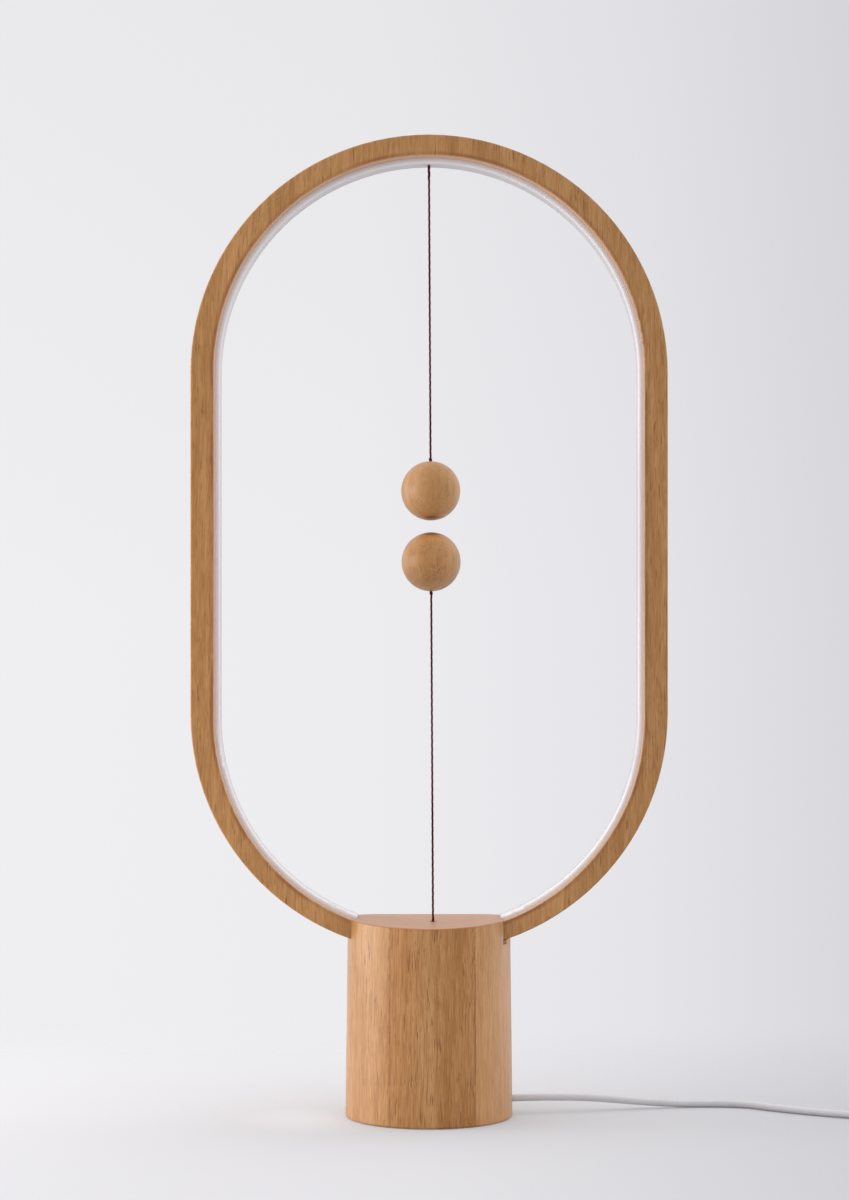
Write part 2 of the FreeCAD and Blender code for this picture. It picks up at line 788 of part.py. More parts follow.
def make_ring_screws():
    screws = []
    head_bottom = cavity_top + 0.4
    length = ring_screw_height() + d.ring_screw_depth - head_bottom
    for x, y in ring_screw_places():
        head = cylinder(d.ring_screw_radius * 2, 2.2, x=x, y=y, z=head_bottom)
        shank = cylinder(d.ring_screw_radius, length, x=x, y=y, z=head_bottom)
        recess = cross_recess(d.ring_screw_radius, cavity_top - 0.6, 2, {"x": x, "y": y})
        screws.append(cut(fuse(head, shank), recess))
    node("ring_screws", together(screws))


def make_diffuser():
    body = new_body("DiffuserStrip")
    loop = new_sketch(body, "Loop", "XZ_Plane")
    stadium(loop, diffuser_outer, inner_low, inner_high)
    stadium(loop, diffuser_inner, inner_low, inner_high)
    strip = extrude(body, "Pad", loop, d.diffuser_width)
    reach = d.diffuser_width.number / 2
    inside = diffuser_inner.number

    def inner_edge(edge):
        at_side = abs(abs(edge.BoundBox.Center.y) - reach) < 0.01 and edge.BoundBox.YLength < 0.01
        return at_side and max(abs(edge.BoundBox.XMin), abs(edge.BoundBox.XMax)) < inside + 0.1

    round_edges(body, strip, d.diffuser_edge_radius, inner_edge)
    gap = box(2 * d.diffuser_gap_half_width, 20, 30, z=ring_seat_height)
    hole = cylinder(d.exit_knot_radius + 0.2, 10, z=anchor_height - 2)
    node("diffuser", cut(body, gap, hole))


def make_strips():
    body = new_body("StripLoop")
    loop = new_sketch(body, "Loop", "XZ_Plane")
    stadium(loop, strip_outer, inner_low, inner_high)
    stadium(loop, strip_inner, inner_low, inner_high)
    extrude(body, "Pad", loop, d.strip_width)
    foot = box(2 * d.strip_foot_gap, 20, 30, z=ring_seat_height)
    top = box(2 * d.strip_top_gap, 20, 30, z=inner_high + inner_radius - 15)
    node("led_strips", cut(body, foot, top))


def make_chips():
    """Light chips at an even pitch on both halves of the strip, facing inwards."""
    chips = []
    radius = strip_inner.number
    low, high = inner_low.number, inner_high.number
    pitch = d.chip_pitch.number
    straight = high - low
    count = int(straight / pitch)
    for side in (-1, 1):
        first = (low + high - pitch * (count - 1)) / 2
        for index in range(count):
            chips.append(chip_at(side * radius, first + pitch * index, 0 if side > 0 else 180))
        step = math.degrees(pitch / radius)
        lead = math.degrees((first - low) / radius)
        edge = math.degrees(math.asin((d.strip_foot_gap.number + d.chip_length.number) / radius))
        angle = step - lead
        while angle < 90 - edge:
            turn = angle if side > 0 else 180 - angle
            across_x = radius * math.cos(math.radians(turn))
            up = radius * math.sin(math.radians(turn))
            chips.append(chip_at(across_x, high + up, turn))
            chips.append(chip_at(across_x, low - up, -turn))
            angle += step
    node("led_chips", together(chips))


def chip_at(x, z, turn):
    """A chip on the strip at x, z whose back faces away from the ring's middle at that angle."""
    chip = document.addObject("Part::Box", "Chip")
    bind(chip, "Length", d.chip_height)
    bind(chip, "Width", d.chip_width)
    bind(chip, "Height", d.chip_length)
    spin = Rotation(Vector(0, 1, 0), -turn)
    corner = Vector(-d.chip_height.number - d.glue_gap.number, -d.chip_width.number / 2,
                    -d.chip_length.number / 2)
    chip.Placement = Placement(Vector(x, 0, z) + spin.multVec(corner), spin)
    return chip


# ---------------------------------------------------------------- threads, knots and balls

def lean(item):
    """Turns a piece built below the anchor point onto the line from the anchor to the exit."""
    item = together([item])
    item.Placement = Placement(Vector(), Rotation(Vector(0, -1, 0), 1.0))
    bind(item, "Placement.Base.z", anchor_height)
    bind(item, "Placement.Rotation.Angle", as_size(lean_angle))
    return item


def straight_thread(top, bottom):
    """A thread between two depths below the anchor point."""
    return lean(cylinder(d.thread_radius, as_size(bottom) - top, z=-as_size(bottom)))


def knot(radius, depth):
    """A small round knot about the thread, at a depth below the anchor point."""
    lump = ball(radius, z=-as_size(depth))
    hole = cylinder(d.thread_radius + 0.02, 4 * radius, z=-as_size(depth) - 2 * radius)
    return lean(cut(lump, hole))


def make_anchor():
    length = d.anchor_length
    barrel = cylinder(d.anchor_radius, length, z=anchor_top() - length)
    collar = cylinder(d.anchor_radius * 1.5, 0.8, z=inner_high + channel_radius - 0.9)
    bore = cylinder(d.thread_radius + 0.07, length + 2, z=anchor_top() - length - 1)
    pocket = cylinder(1.5, 1.8, z=anchor_top() - 1.8)
    node("thread_anchor", cut(fuse(barrel, collar), bore, pocket))
    lump = ball(1.1, z=anchor_top() - 0.75)
    limit = cylinder(3, 3, z=anchor_top() - 1.8 + d.glue_gap)
    cap = cylinder(3, 3, z=anchor_top())
    node("anchor_knot", cut(common(lump, limit), cap))
    start = anchor_height + d.exit_knot_radius + d.glue_gap
    node("upper_thread_stub", cylinder(d.thread_radius, anchor_top() - 1.8 - start, z=start))


def make_upper_ball():
    hang = d.upper_ball_hang
    node("upper_exit_knot", lean(ball(d.exit_knot_radius)))
    node("upper_thread", straight_thread(d.exit_knot_radius + d.glue_gap, hang + inner_thread_end()))
    node("upper_ball_knot", knot(d.ball_knot_radius, hang - d.ball_radius - d.ball_knot_radius + 0.1))
    make_ball("upper", hang, 1)


def make_lower_ball():
    hang = lower_ball_hang
    make_ball("lower", hang, -1)
    node("lower_ball_knot", knot(d.ball_knot_radius, hang + d.ball_radius + d.ball_knot_radius - 0.1))
    foot = line_length() - d.stop_knot_radius - d.glue_gap
    node("lower_thread", straight_thread(hang - inner_thread_end(), foot))
    node("lower_stop_knot", lean(ball(d.stop_knot_radius, z=-line_length())))


def line_length():
    return root(line_drop * line_drop + d.exit_offset * d.exit_offset)


def inner_thread_end():
    """How far past the ball's centre, towards the magnet, its thread reaches."""
    return d.ball_radius - bore_depth - d.glue_gap


def make_ball(name, hang, facing):
    """A ball whose magnet sits behind a plug. facing is 1 when the magnet is at its underside."""
    centre = -hang
    sphere = ball(d.ball_radius, z=centre)
    reach = d.ball_radius

    def stack(radius, low, high):
        """A cylinder between two distances from the ball's magnet face."""
        low, high = as_size(low), as_size(high)
        bottom = centre - reach + low if facing > 0 else centre + reach - high
        return cylinder(radius, high - low, z=bottom)

    chamber = stack(d.magnet_radius + d.glue_gap, -1, bore_depth)
    crimp_room = stack(d.crimp_radius + d.slip_gap, bore_depth - 1, bore_depth + d.crimp_height + d.slip_gap)
    bore = stack(d.thread_radius + 0.07, bore_depth, 2 * reach + 1)
    neck = stack(d.ball_knot_radius + 0.05, 2 * reach - 0.45, 2 * reach + 1)
    node(f"{name}_ball", lean(cut(sphere, chamber, crimp_room, bore, neck)))
    disc = stack(d.magnet_radius, magnet_depth, magnet_depth + d.magnet_height)
    node(f"{name}_magnet", lean(disc))
    whole = ball(d.ball_radius, z=centre)
    node(f"{name}_ball_plug", lean(common(whole, stack(d.magnet_radius, -1, d.plug_thickness))))
    bead = stack(d.crimp_radius, bore_depth, bore_depth + d.crimp_height)
    hole = stack(d.thread_radius + 0.02, bore_depth - 1, bore_depth + d.crimp_height + 1)
    node(f"{name}_crimp", lean(cut(bead, hole)))


def make_inner_thread():
    x = d.exit_offset
    top = exit_height - d.stop_knot_radius - d.glue_gap
    bottom = plunger_bottom + 1.6
    node("lower_thread_inner", cylinder(d.thread_radius, top - bottom, x=x, z=bottom))
    lump = ball(1.1, x=x, z=plunger_bottom + 1.5)
    hole = cylinder(d.thread_radius + 0.02, 4, x=x, z=plunger_bottom + 1.55)
    node("plunger_knot", cut(lump, hole))


def make_guide():
    x = d.exit_offset
    bottom = cavity_top + 2
    tube_piece = cylinder(d.guide_radius, guide_top - bottom, x=x, z=bottom)
    bore = cylinder(d.guide_bore_radius, guide_top - bottom + 2, x=x, z=bottom - 1)
    node("thread_guide", cut(tube_piece, bore))


# ---------------------------------------------------------------- switch

def make_plunger():
    body = new_body("PlungerTurned")
    bore = d.thread_radius + 0.07
    pocket = as_size(1.4)
    pocket_top = plunger_bottom + 2.8
    top = cavity_top - 1
    revolve(body, [
        (pocket, plunger_bottom), (d.plunger_radius + 1, plunger_bottom),
        (d.plunger_radius + 1, flange_bottom), (d.plunger_flange_radius, flange_bottom),
        (d.plunger_flange_radius, flange_top),
        (d.plunger_radius, flange_top), (d.plunger_radius, top), (bore, top), (bore, pocket_top),
        (pocket, pocket_top)])
    place(body, x=d.exit_offset)
    node("switch_plunger", body)


def make_spring():
    low = flange_top.number + d.spring_wire_radius.number + d.glue_gap.number
    high = shelf_bottom.number - d.spring_wire_radius.number - d.glue_gap.number
    turns = d.spring_turns.number
    helix = Part.makeHelix((high - low) / turns, high - low, d.spring_radius.number)
    rim = Part.Wire(Part.makeCircle(d.spring_wire_radius.number, Vector(d.spring_radius.number, 0, 0),
                                    Vector(0, 1, 0)))
    item = document.addObject("Part::Feature", "Spring")
    item.Shape = Part.Wire(helix.Edges).makePipeShell([rim], True, True)
    place(item, x=d.exit_offset, z=low)
    node("switch_spring", item)


def make_frame():
    left = d.exit_offset - 14.7
    right = d.exit_offset + 15.3
    flange = box(right - left, 16, d.frame_plate - d.glue_gap, x=(left + right) / 2, z=flange_underside)
    wall_left = d.exit_offset - 6.2
    wall_right = switch_left + d.switch_length + 0.3
    middle = (wall_left + wall_right) / 2
    wall_middle = wall_front + d.frame_wall / 2
    wall_bottom = switch_bottom - 1
    wall = box(wall_right - wall_left, d.frame_wall, flange_underside - wall_bottom, x=middle, y=wall_middle,
               z=wall_bottom)
    shelf_right = switch_left - 1
    shelf = box(shelf_right - wall_left, wall_front + 5.1, d.frame_plate, x=(shelf_right + wall_left) / 2,
                y=(wall_front + 0.1 - 5) / 2, z=shelf_bottom)
    tools = [cylinder(d.plunger_radius + d.slip_gap, 12, x=d.exit_offset, z=shelf_bottom - 1)]
    tools.append(cylinder(d.plunger_radius + 1, 6, x=d.exit_offset, z=flange_underside - 1))
    for side in (-1, 1):
        tools.append(cylinder(d.wire_hole_radius + d.loose_gap, 6, x=side * d.wire_hole_x,
                              z=flange_underside - 1))
    for x, y in frame_screw_places():
        tools.append(cylinder(d.frame_screw_radius + d.slip_gap, 6, x=x, y=y, z=flange_underside - 1))
    for x, z in switch_screw_places():
        tools.append(cylinder(0.85, 10, x=x, y=wall_front + 9, z=z, axis=Vector(1, 0, 0), angle=90))
    node("switch_frame", cut(fuse(flange, wall, shelf), *tools))

    screws = []
    for x, y in frame_screw_places():
        head = cylinder(d.frame_screw_radius * 1.9, 1.6, x=x, y=y, z=flange_underside - 1.65)
        shank = cylinder(d.frame_screw_radius, d.frame_screw_length, x=x, y=y, z=flange_underside - 0.8)
        recess = cross_recess(d.frame_screw_radius, flange_underside - 2.5, 1.7, {"x": x, "y": y})
        screws.append(cut(fuse(head, shank), recess))
    node("frame_screws", together(screws))


def switch_screw_places():
    height = switch_bottom + d.switch_height * 0.68
    return [(switch_left + 3.1, height), (switch_left + 9.6, height)]


def terminal_x(index):
    return switch_left + 2 + 3.5 * index


def make_microswitch():
    middle = switch_left + d.switch_length / 2
    case = box(d.switch_length, d.switch_width, d.switch_height, x=middle, z=switch_bottom)
    ear_low = lever_height - 0.9
    ears = [box(2.2, 0.8, switch_bottom - ear_low + 0.5, x=lever_hinge_x,
                y=side * (d.switch_width / 2 - 0.4), z=ear_low) for side in (-1, 1)]
    tools = [across(0.42, 12, x=lever_hinge_x, z=lever_height)]
    tools.append(cylinder(d.button_radius + 0.1, 4.2, x=lever_hinge_x - d.button_arm, z=switch_bottom - 0.5))
    for x, z in switch_screw_places():
        tools.append(across(0.9, 12, x=x, z=z))
    node("microswitch_body", cut(fuse(case, *ears), *tools))

    node("lever_pin", across(0.4, d.switch_width, x=lever_hinge_x, z=lever_height))

    arm = d.lever_arm + 0.4
    blade = box(arm, d.lever_width, d.lever_thickness, x=lever_hinge_x - arm / 2,
                z=lever_height - d.lever_thickness / 2)
    barrel = across(0.75, d.lever_width, x=lever_hinge_x, z=lever_height)
    bore = across(0.45, d.lever_width + 2, x=lever_hinge_x, z=lever_height)
    node("microswitch_lever", cut(fuse(blade, barrel), bore))

    foot = lever_height + d.lever_thickness / 2 + 0.2
    node("microswitch_button", cylinder(d.button_radius, 3, x=lever_hinge_x - d.button_arm, z=foot))

    top = switch_bottom + d.switch_height
    blades = [box(0.5, 2.2, 3, x=terminal_x(index), z=top) for index in range(3)]
    node("microswitch_terminals", together(blades))

    screws = []
    for x, z in switch_screw_places():
        head_y = -d.switch_width / 2 - 0.05
        head = cylinder(1.5, 1, x=x, y=head_y, z=z, axis=Vector(1, 0, 0), angle=90)
        shank = cylinder(0.8, d.switch_width + 2, x=x, y=head_y + d.switch_width + 2, z=z,
                         axis=Vector(1, 0, 0), angle=90)
        screws.append(fuse(head, shank))
    node("microswitch_screws", together(screws))


def make_wires():
    """Leads from the two light strips and from the switch down to the board."""
    strip_end = ring_seat_height.number + 4
    bend_z = flange_underside.number - 3
    connector = (board_top + d.socket_height).number
    bend = connector + d.lead_drop.number
    x = d.wire_hole_x.number
    y_switch = -switch_lead_y.number
    y_led = led_lead_y.number
    leads = []
    for lane in (-0.55, 0.55):
        leads.append([(-x + lane, 0, strip_end), (-x + lane, 0, bend + d.lead_slant.number),
                      (-x + lane, y_led, bend), (-x + lane, y_led, connector)])
        leads.append([(x + lane, 0, strip_end), (x + lane, 0, bend_z), (x + lane, y_switch, bend_z - 2),
                      (x + lane, y_switch, connector)])
    node("led_wires", tube("led_wires", leads, d.wire_radius))
    tip = switch_bottom.number + d.switch_height.number + 2
    leads = [[(terminal_x(index).number, -1.2, tip), (terminal_x(index).number, y_switch, tip - 1),
              (terminal_x(index).number, y_switch, connector)] for index in (1, 2)]
    node("switch_wires", tube("switch_wires", leads, d.wire_radius))


# ---------------------------------------------------------------- cable and plug

def outlet_point(distance, z=None):
    along = math.radians(d.outlet_angle.number)
    height = d.outlet_height.number if z is None else z
    return (distance * math.cos(along), distance * math.sin(along), height)


def make_cable():
    outside = d.base_foot_radius
    start = grommet_start() + d.glue_gap
    sleeve = outlet_cylinder(d.grommet_radius, start, outside - start - 0.5)
    bore = outlet_cylinder(d.cable_radius + d.glue_gap, start - 2, 10)
    node("cable_grommet", cut(sleeve, bore))

    width = d.cable_notch_width - 2 * d.slip_gap
    block = part("Box", {"Length": d.clamp_length, "Width": width, "Height": 5})
    clamp_start = cavity_radius - d.clamp_length - 0.7
    turn_to_outlet(block, clamp_start, width, cover_top)
    bore = outlet_cylinder(d.cable_radius + d.glue_gap, clamp_start - 5, 15)
    node("cable_clamp", cut(block, bore))

    rise = board_top.number + 3.5
    low = outlet_point(riser().number)
    high = outlet_point(riser().number, rise)
    last = (power_plug_x().number + 3.02, high[1], rise)
    ends = [outlet_point(outside.number), low, high, last]
    room = (clamp_start - riser()).number - 0.3
    node("inner_cable", tube("inner_cable", [ends], d.cable_radius, longest_reach=room))

    first = (outlet_point(outside.number), outlet_point(CABLE_START))
    node("power_cable", tube("power_cable", [first + CABLE_ROUTE], d.cable_radius))
    node("power_cable_tail", tube("power_cable_tail", [TAIL_ROUTE], d.cable_radius))


def make_coil():
    inner = d.coil_mean_radius - d.coil_bundle_width / 2
    outer = d.coil_mean_radius + d.coil_bundle_width / 2
    x, y = COIL_CENTRE
    low = d.tie_thickness + d.glue_gap
    disc = cylinder(outer, d.coil_bundle_height, x=x, y=y, z=low)
    hole = cylinder(inner, d.coil_bundle_height + 2, x=x, y=y, z=low - 1)
    annulus = cut(disc, hole)
    document.recompute()
    rounded = document.addObject("Part::Fillet", "Rounded")
    rounded.Base = annulus
    rounding = d.coil_bundle_height.number / 3
    rims = [index + 1 for index, edge in enumerate(annulus.Shape.Edges) if edge.BoundBox.ZLength < 0.01]
    rounded.Edges = [(index, rounding, rounding) for index in rims]
    node("power_cable_coil", rounded)

    gap = d.glue_gap
    curve = inner - root(inner * inner - d.tie_width * d.tie_width / 4)
    wide = d.coil_bundle_width + 2 * gap + curve
    tall = d.coil_bundle_height + 2 * gap
    tie = d.tie_thickness
    middle = y + d.coil_mean_radius - curve / 2
    loop = box(d.tie_width, wide + 2 * tie, tall + 2 * tie, x=x, y=middle, z=0)
    window = box(d.tie_width + 2, wide, tall, x=x, y=middle, z=tie)
    node("coil_tie", cut(loop, window))


def make_plug():
    start = TAIL_ROUTE[-1]
    angle = d.plug_angle
    height = start[2]

    def along(distance):
        distance = as_size(distance)
        return {"x": start[0] + distance * cosine(angle), "y": start[1] + distance * sine(angle)}

    def slab(distance, length, width, tall):
        """A box centred on the plug's axis."""
        width, tall = as_size(width), as_size(tall)
        piece = part("Box", {"Length": length, "Width": width, "Height": tall})
        spot = along(distance)
        return place(piece, x=spot["x"] + width / 2 * sine(angle), y=spot["y"] - width / 2 * cosine(angle),
                     z=height - tall / 2, axis=Vector(0, 0, 1), angle=angle)

    relief = cone(3.2, 2.0, d.plug_relief_length)
    axis = Vector(math.cos(math.radians(angle.number)), math.sin(math.radians(angle.number)), 0)
    front = along(d.plug_relief_length + 0.5)
    relief.Placement = Placement(Vector(front["x"].number, front["y"].number, height),
                                 Rotation(Vector(0, 0, 1), -axis))
    bind(relief, "Placement.Base.x", front["x"])
    bind(relief, "Placement.Base.y", front["y"])
    bind(relief, "Placement.Base.z", height)
    bore = cylinder(d.cable_radius + d.glue_gap, 4)
    bore.Placement = Placement(Vector(*start) - axis, Rotation(Vector(0, 0, 1), axis))
    case = slab(d.plug_relief_length, d.plug_body_length, d.plug_body_width, d.plug_body_height)
    document.recompute()
    rounded = document.addObject("Part::Fillet", "Rounded")
    rounded.Base = case
    rounded.Edges = [(index + 1, 1.5, 1.5) for index in range(12)]
    mouth = d.plug_relief_length + d.plug_body_length
    pocket = slab(mouth - 6, 8, d.plug_shell_width + 0.1, d.plug_shell_height + 0.1)
    node("usb_plug_body", cut(fuse(rounded, relief), pocket, bore))

    shell = slab(mouth - 5.9, d.plug_shell_length + 5.9, d.plug_shell_width, d.plug_shell_height)
    wall = d.plug_shell_wall
    hollow = slab(mouth - 5.9 + wall, d.plug_shell_length + 9, d.plug_shell_width - 2 * wall,
                  d.plug_shell_height - 2 * wall)
    windows = []
    for side in (-1, 1):
        window = slab(mouth + 4.5, 2.2, 2.2, 12)
        shift = side * 2.7
        bind(window, "Placement.Base.x", window_x(along, mouth, shift, angle))
        bind(window, "Placement.Base.y", window_y(along, mouth, shift, angle))
        windows.append(window)
    node("usb_plug_shell", cut(shell, hollow, *windows))

    tongue = slab(mouth - 5.4, d.plug_shell_length + 4.9, d.plug_shell_width - 2 * wall - 0.2, 1.9)
    place_z = height - d.plug_shell_height / 2 + wall + d.glue_gap
    bind(tongue, "Placement.Base.z", place_z)
    node("usb_plug_tongue", tongue)


def window_x(along, mouth, shift, angle):
    return along(mouth + 4.5)["x"] + (1.1 - shift) * sine(angle)


def window_y(along, mouth, shift, angle):
    return along(mouth + 4.5)["y"] - (1.1 - shift) * cosine(angle)


# ---------------------------------------------------------------- the whole lamp

def check_and_export():
    document.recompute()
    for (item_name, name), number in bound.items():
        item = document.getObject(item_name)
        if name.startswith("Constraints"):
            index = int(name[len("Constraints["):-1])
            got = item.Constraints[index].Value
        else:
            got = item
            for step in name.split("."):
                got = getattr(got, step)
            got = getattr(got, "Value", got)
            if name.endswith("Angle"):
                got = math.degrees(got)
        if abs(got - number) > 1e-6:
            raise RuntimeError(f"{item_name}.{name} is {got}, not {number}")
    for item in document.Objects:
        if "Invalid" in item.State or "Error" in item.State:
            raise RuntimeError(f"{item.Name} failed: {item.State}")
    for item in nodes:
        if item.Shape.isNull() or not item.Shape.isValid() or item.Shape.Volume <= 0:
            raise RuntimeError(f"{item.Label} has no valid shape")
    os.makedirs("parts", exist_ok=True)
    for item in nodes:
        item.Shape.exportStep(f"parts/{item.Label}.step")
        reach = item.Shape.BoundBox
        print(f"{item.Label}: {len(item.Shape.Solids)} solids, {item.Shape.Volume:.1f} mm3, "
              f"z {reach.ZMin:.2f} to {reach.ZMax:.2f}")
    print(len(nodes), "nodes")


make_base()
make_saddle()
make_foot()
make_ballast()
make_board()
make_ring()
make_ring_screws()
make_diffuser()
make_strips()
make_chips()
make_anchor()
make_upper_ball()
make_lower_ball()
make_inner_thread()
make_guide()
make_plunger()
make_spring()
make_frame()
make_microswitch()
make_wires()
make_cable()
make_coil()
make_plug()
check_and_export()
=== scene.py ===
import math

import bpy
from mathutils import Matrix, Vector


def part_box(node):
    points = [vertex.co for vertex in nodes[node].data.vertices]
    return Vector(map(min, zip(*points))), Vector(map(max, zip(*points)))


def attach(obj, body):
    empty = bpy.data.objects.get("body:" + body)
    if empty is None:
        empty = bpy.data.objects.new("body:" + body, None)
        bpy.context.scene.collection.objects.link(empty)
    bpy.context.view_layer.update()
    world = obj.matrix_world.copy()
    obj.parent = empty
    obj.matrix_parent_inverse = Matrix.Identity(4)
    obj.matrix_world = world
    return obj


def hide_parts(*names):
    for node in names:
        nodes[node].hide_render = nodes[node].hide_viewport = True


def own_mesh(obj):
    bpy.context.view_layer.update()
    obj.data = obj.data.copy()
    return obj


# The looks of the balance lamp: an upright wooden ring on a round wooden base, two wooden balls on
# threads and a pale cable. Metres, in the same frame as the CAD: +X to the right, +Y to the back, +Z up.

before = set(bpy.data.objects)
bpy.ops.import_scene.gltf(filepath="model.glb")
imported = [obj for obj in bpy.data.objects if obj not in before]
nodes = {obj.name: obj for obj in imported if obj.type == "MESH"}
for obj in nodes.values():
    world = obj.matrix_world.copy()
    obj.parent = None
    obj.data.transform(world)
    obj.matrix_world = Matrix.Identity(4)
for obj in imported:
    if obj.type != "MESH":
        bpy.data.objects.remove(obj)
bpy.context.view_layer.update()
scene = bpy.context.scene

MM = 0.001
UP = Vector((0, 0, 1))


def link(obj):
    scene.collection.objects.link(obj)
    return obj


# ---------------------------------------------------------------- camera

CAMERA_PLACE = (-0.0019, -1.050, 0.1798)
CAMERA_LENS, SENSOR_WIDTH, CAMERA_SHIFT = 74.49, 36.0, 0.075
CLIP_NEAR, CLIP_FAR = 0.01, 50.0


def make_camera():
    """A level camera in front of the lamp."""
    data = bpy.data.cameras.new("camera")
    data.lens = CAMERA_LENS
    data.sensor_width = SENSOR_WIDTH
    data.shift_y = CAMERA_SHIFT
    data.clip_start, data.clip_end = CLIP_NEAR, CLIP_FAR
    camera = link(bpy.data.objects.new("camera", data))
    camera.location = CAMERA_PLACE
    camera.rotation_euler = (math.radians(90), 0, 0)
    scene.camera = camera


make_camera()


# ---------------------------------------------------------------- mesh helpers

SPLINE_ORDER = 3
CABLE_SMOOTHNESS, THREAD_SMOOTHNESS = 8, 12
CABLE_ROUNDNESS = 5


def mesh_object(name, verts, faces):
    mesh = bpy.data.meshes.new(name)
    mesh.from_pydata([tuple(v) for v in verts], [], faces)
    mesh.validate()
    mesh.polygons.foreach_set("use_smooth", [True] * len(mesh.polygons))
    mesh.update()
    return link(bpy.data.objects.new(name, mesh))


def spline_curve(name, points, smoothness, radius=0.0):
    """An open NURBS curve of order 3 whose control points are the given ones."""
    curve = bpy.data.curves.new(name, "CURVE")
    curve.dimensions = "3D"
    spline = curve.splines.new("NURBS")
    spline.points.add(len(points) - 1)
    for point, place in zip(spline.points, points):
        point.co = (*place, 1.0)
    spline.order_u = SPLINE_ORDER
    spline.use_endpoint_u = True
    spline.resolution_u = smoothness
    curve.bevel_depth = radius
    curve.bevel_resolution = CABLE_ROUNDNESS
    curve.use_fill_caps = radius > 0
    return link(bpy.data.objects.new(name, curve))


def spline_points(points, smoothness):
    """Points along the smooth line of a route."""
    guide = spline_curve("guide", points, smoothness)
    bpy.context.view_layer.update()
    depsgraph = bpy.context.evaluated_depsgraph_get()
    mesh = bpy.data.meshes.new_from_object(guide.evaluated_get(depsgraph))
    found = [v.co.copy() for v in mesh.vertices]
    bpy.data.meshes.remove(mesh)
    bpy.data.objects.remove(guide)
    return found


def line_length(points):
    return sum((two - one).length for one, two in zip(points, points[1:]))


def frames_along(points):
    """For each point: its place, and two directions square to the line, carried along without twist."""
    found = []
    side = None
    for index, place in enumerate(points):
        before = points[max(index - 1, 0)]
        after = points[min(index + 1, len(points) - 1)]
        along = (after - before).normalized()
        if side is None:
            side = along.orthogonal().normalized()
        side = (side - along * side.dot(along)).normalized()
        found.append((place, side, along.cross(side)))
    return found


def turned(place, side, other, reach, turn):
    """The place on a circle round another place, in the plane of two directions."""
    return place + side * (reach * math.cos(turn)) + other * (reach * math.sin(turn))


def skin_faces(first, rings, sides):
    """Faces of a skin over rings of vertices, from the first vertex on, with a cap at each end."""
    faces = []
    for ring in range(rings - 1):
        start = first + ring * sides
        for step in range(sides):
            one = start + step
            two = start + (step + 1) % sides
            faces.append((one, two, two + sides, one + sides))
    last = first + (rings - 1) * sides
    faces.append(tuple(reversed(range(first, first + sides))))
    faces.append(tuple(range(last, last + sides)))
    return faces


def tube_mesh(lines, radius, sides=8):
    """Vertices and faces of round tubes along lists of points, closed at their ends."""
    verts, faces = [], []
    for line in lines:
        faces += skin_faces(len(verts), len(line), sides)
        for place, side, other in frames_along(line):
            verts += [turned(place, side, other, radius, 2 * math.pi * step / sides)
                      for step in range(sides)]
    return verts, faces


def resample(points, step):
    """Points at an even pitch along a line of points."""
    lengths = [0.0]
    for one, two in zip(points, points[1:]):
        lengths.append(lengths[-1] + (two - one).length)
    count = max(2, round(lengths[-1] / step) + 1)
    found, index = [], 0
    for number in range(count):
        wanted = lengths[-1] * number / (count - 1)
        while index < len(points) - 2 and lengths[index + 1] < wanted:
            index += 1
        span = lengths[index + 1] - lengths[index]
        share = (wanted - lengths[index]) / span if span else 0.0
        found.append(points[index].lerp(points[index + 1], share))
    return found


# ---------------------------------------------------------------- cable

CABLE_RADIUS = 0.0015
EXIT = (0.03476, 0.00613, 0.0063)
# The cable's control points from the base to the coil, and from the coil to the plug.
CABLE_ROUTE = (
    EXIT, (0.04973, 0.00877, 0.0063), (0.0700, 0.0125, 0.0054), (0.0895, 0.0163, 0.0031),
    (0.1080, 0.0195, 0.00155), (0.1250, 0.0201, 0.00155), (0.1376, 0.0179, 0.00155),
    (0.1465, 0.0097, 0.00155), (0.1605, 0.0002, 0.00155), (0.1760, -0.0079, 0.00155),
    (0.1910, -0.0139, 0.0016), (0.2070, -0.0179, 0.0020),
)
TAIL_ROUTE = (
    (0.2226, -0.01545, 0.0050), (0.2286, -0.0121, 0.0046), (0.2342, -0.0089, 0.0034),
    (0.2462, -0.0040, 0.0039), (0.2562, -0.00075, 0.0039),
)
COIL_CENTRE = Vector((0.2116, 0.0036, 0.0))
# The coil's turns, in the order in which they are wound: each turn's radius and height in millimetres.
COIL_CELLS = ((22, 2), (19, 2), (16, 2), (13, 2), (13, 5), (13, 8), (16, 8), (16, 5), (19, 5), (19, 8),
              (22, 8), (22, 5))
# Angles of the coil, in degrees.
COIL_START, COIL_END = -102.1, -60.0
CONTROL_STEP = 30.0
FIRST_MOVE, MOVE_SPAN = 235.0, 60.0
FULL_TURN, SHORT_TURN = 360.0, 300.0


def coil_moves():
    """The angles at which each turn of the coil moves over to the place of the next one. Where the winding
    changes direction the turn is shorter, so that the next place is free by then."""
    moves = []
    angle = FIRST_MOVE
    for index in range(len(COIL_CELLS) - 1):
        moves.append(angle)
        if index + 2 < len(COIL_CELLS):
            (r0, z0), (r1, z1), (r2, z2) = COIL_CELLS[index:index + 3]
            changes = (r1 - r0) * (z2 - z1) != 0 or (z1 - z0) * (r2 - r1) != 0
            angle += SHORT_TURN if changes else FULL_TURN
    return moves


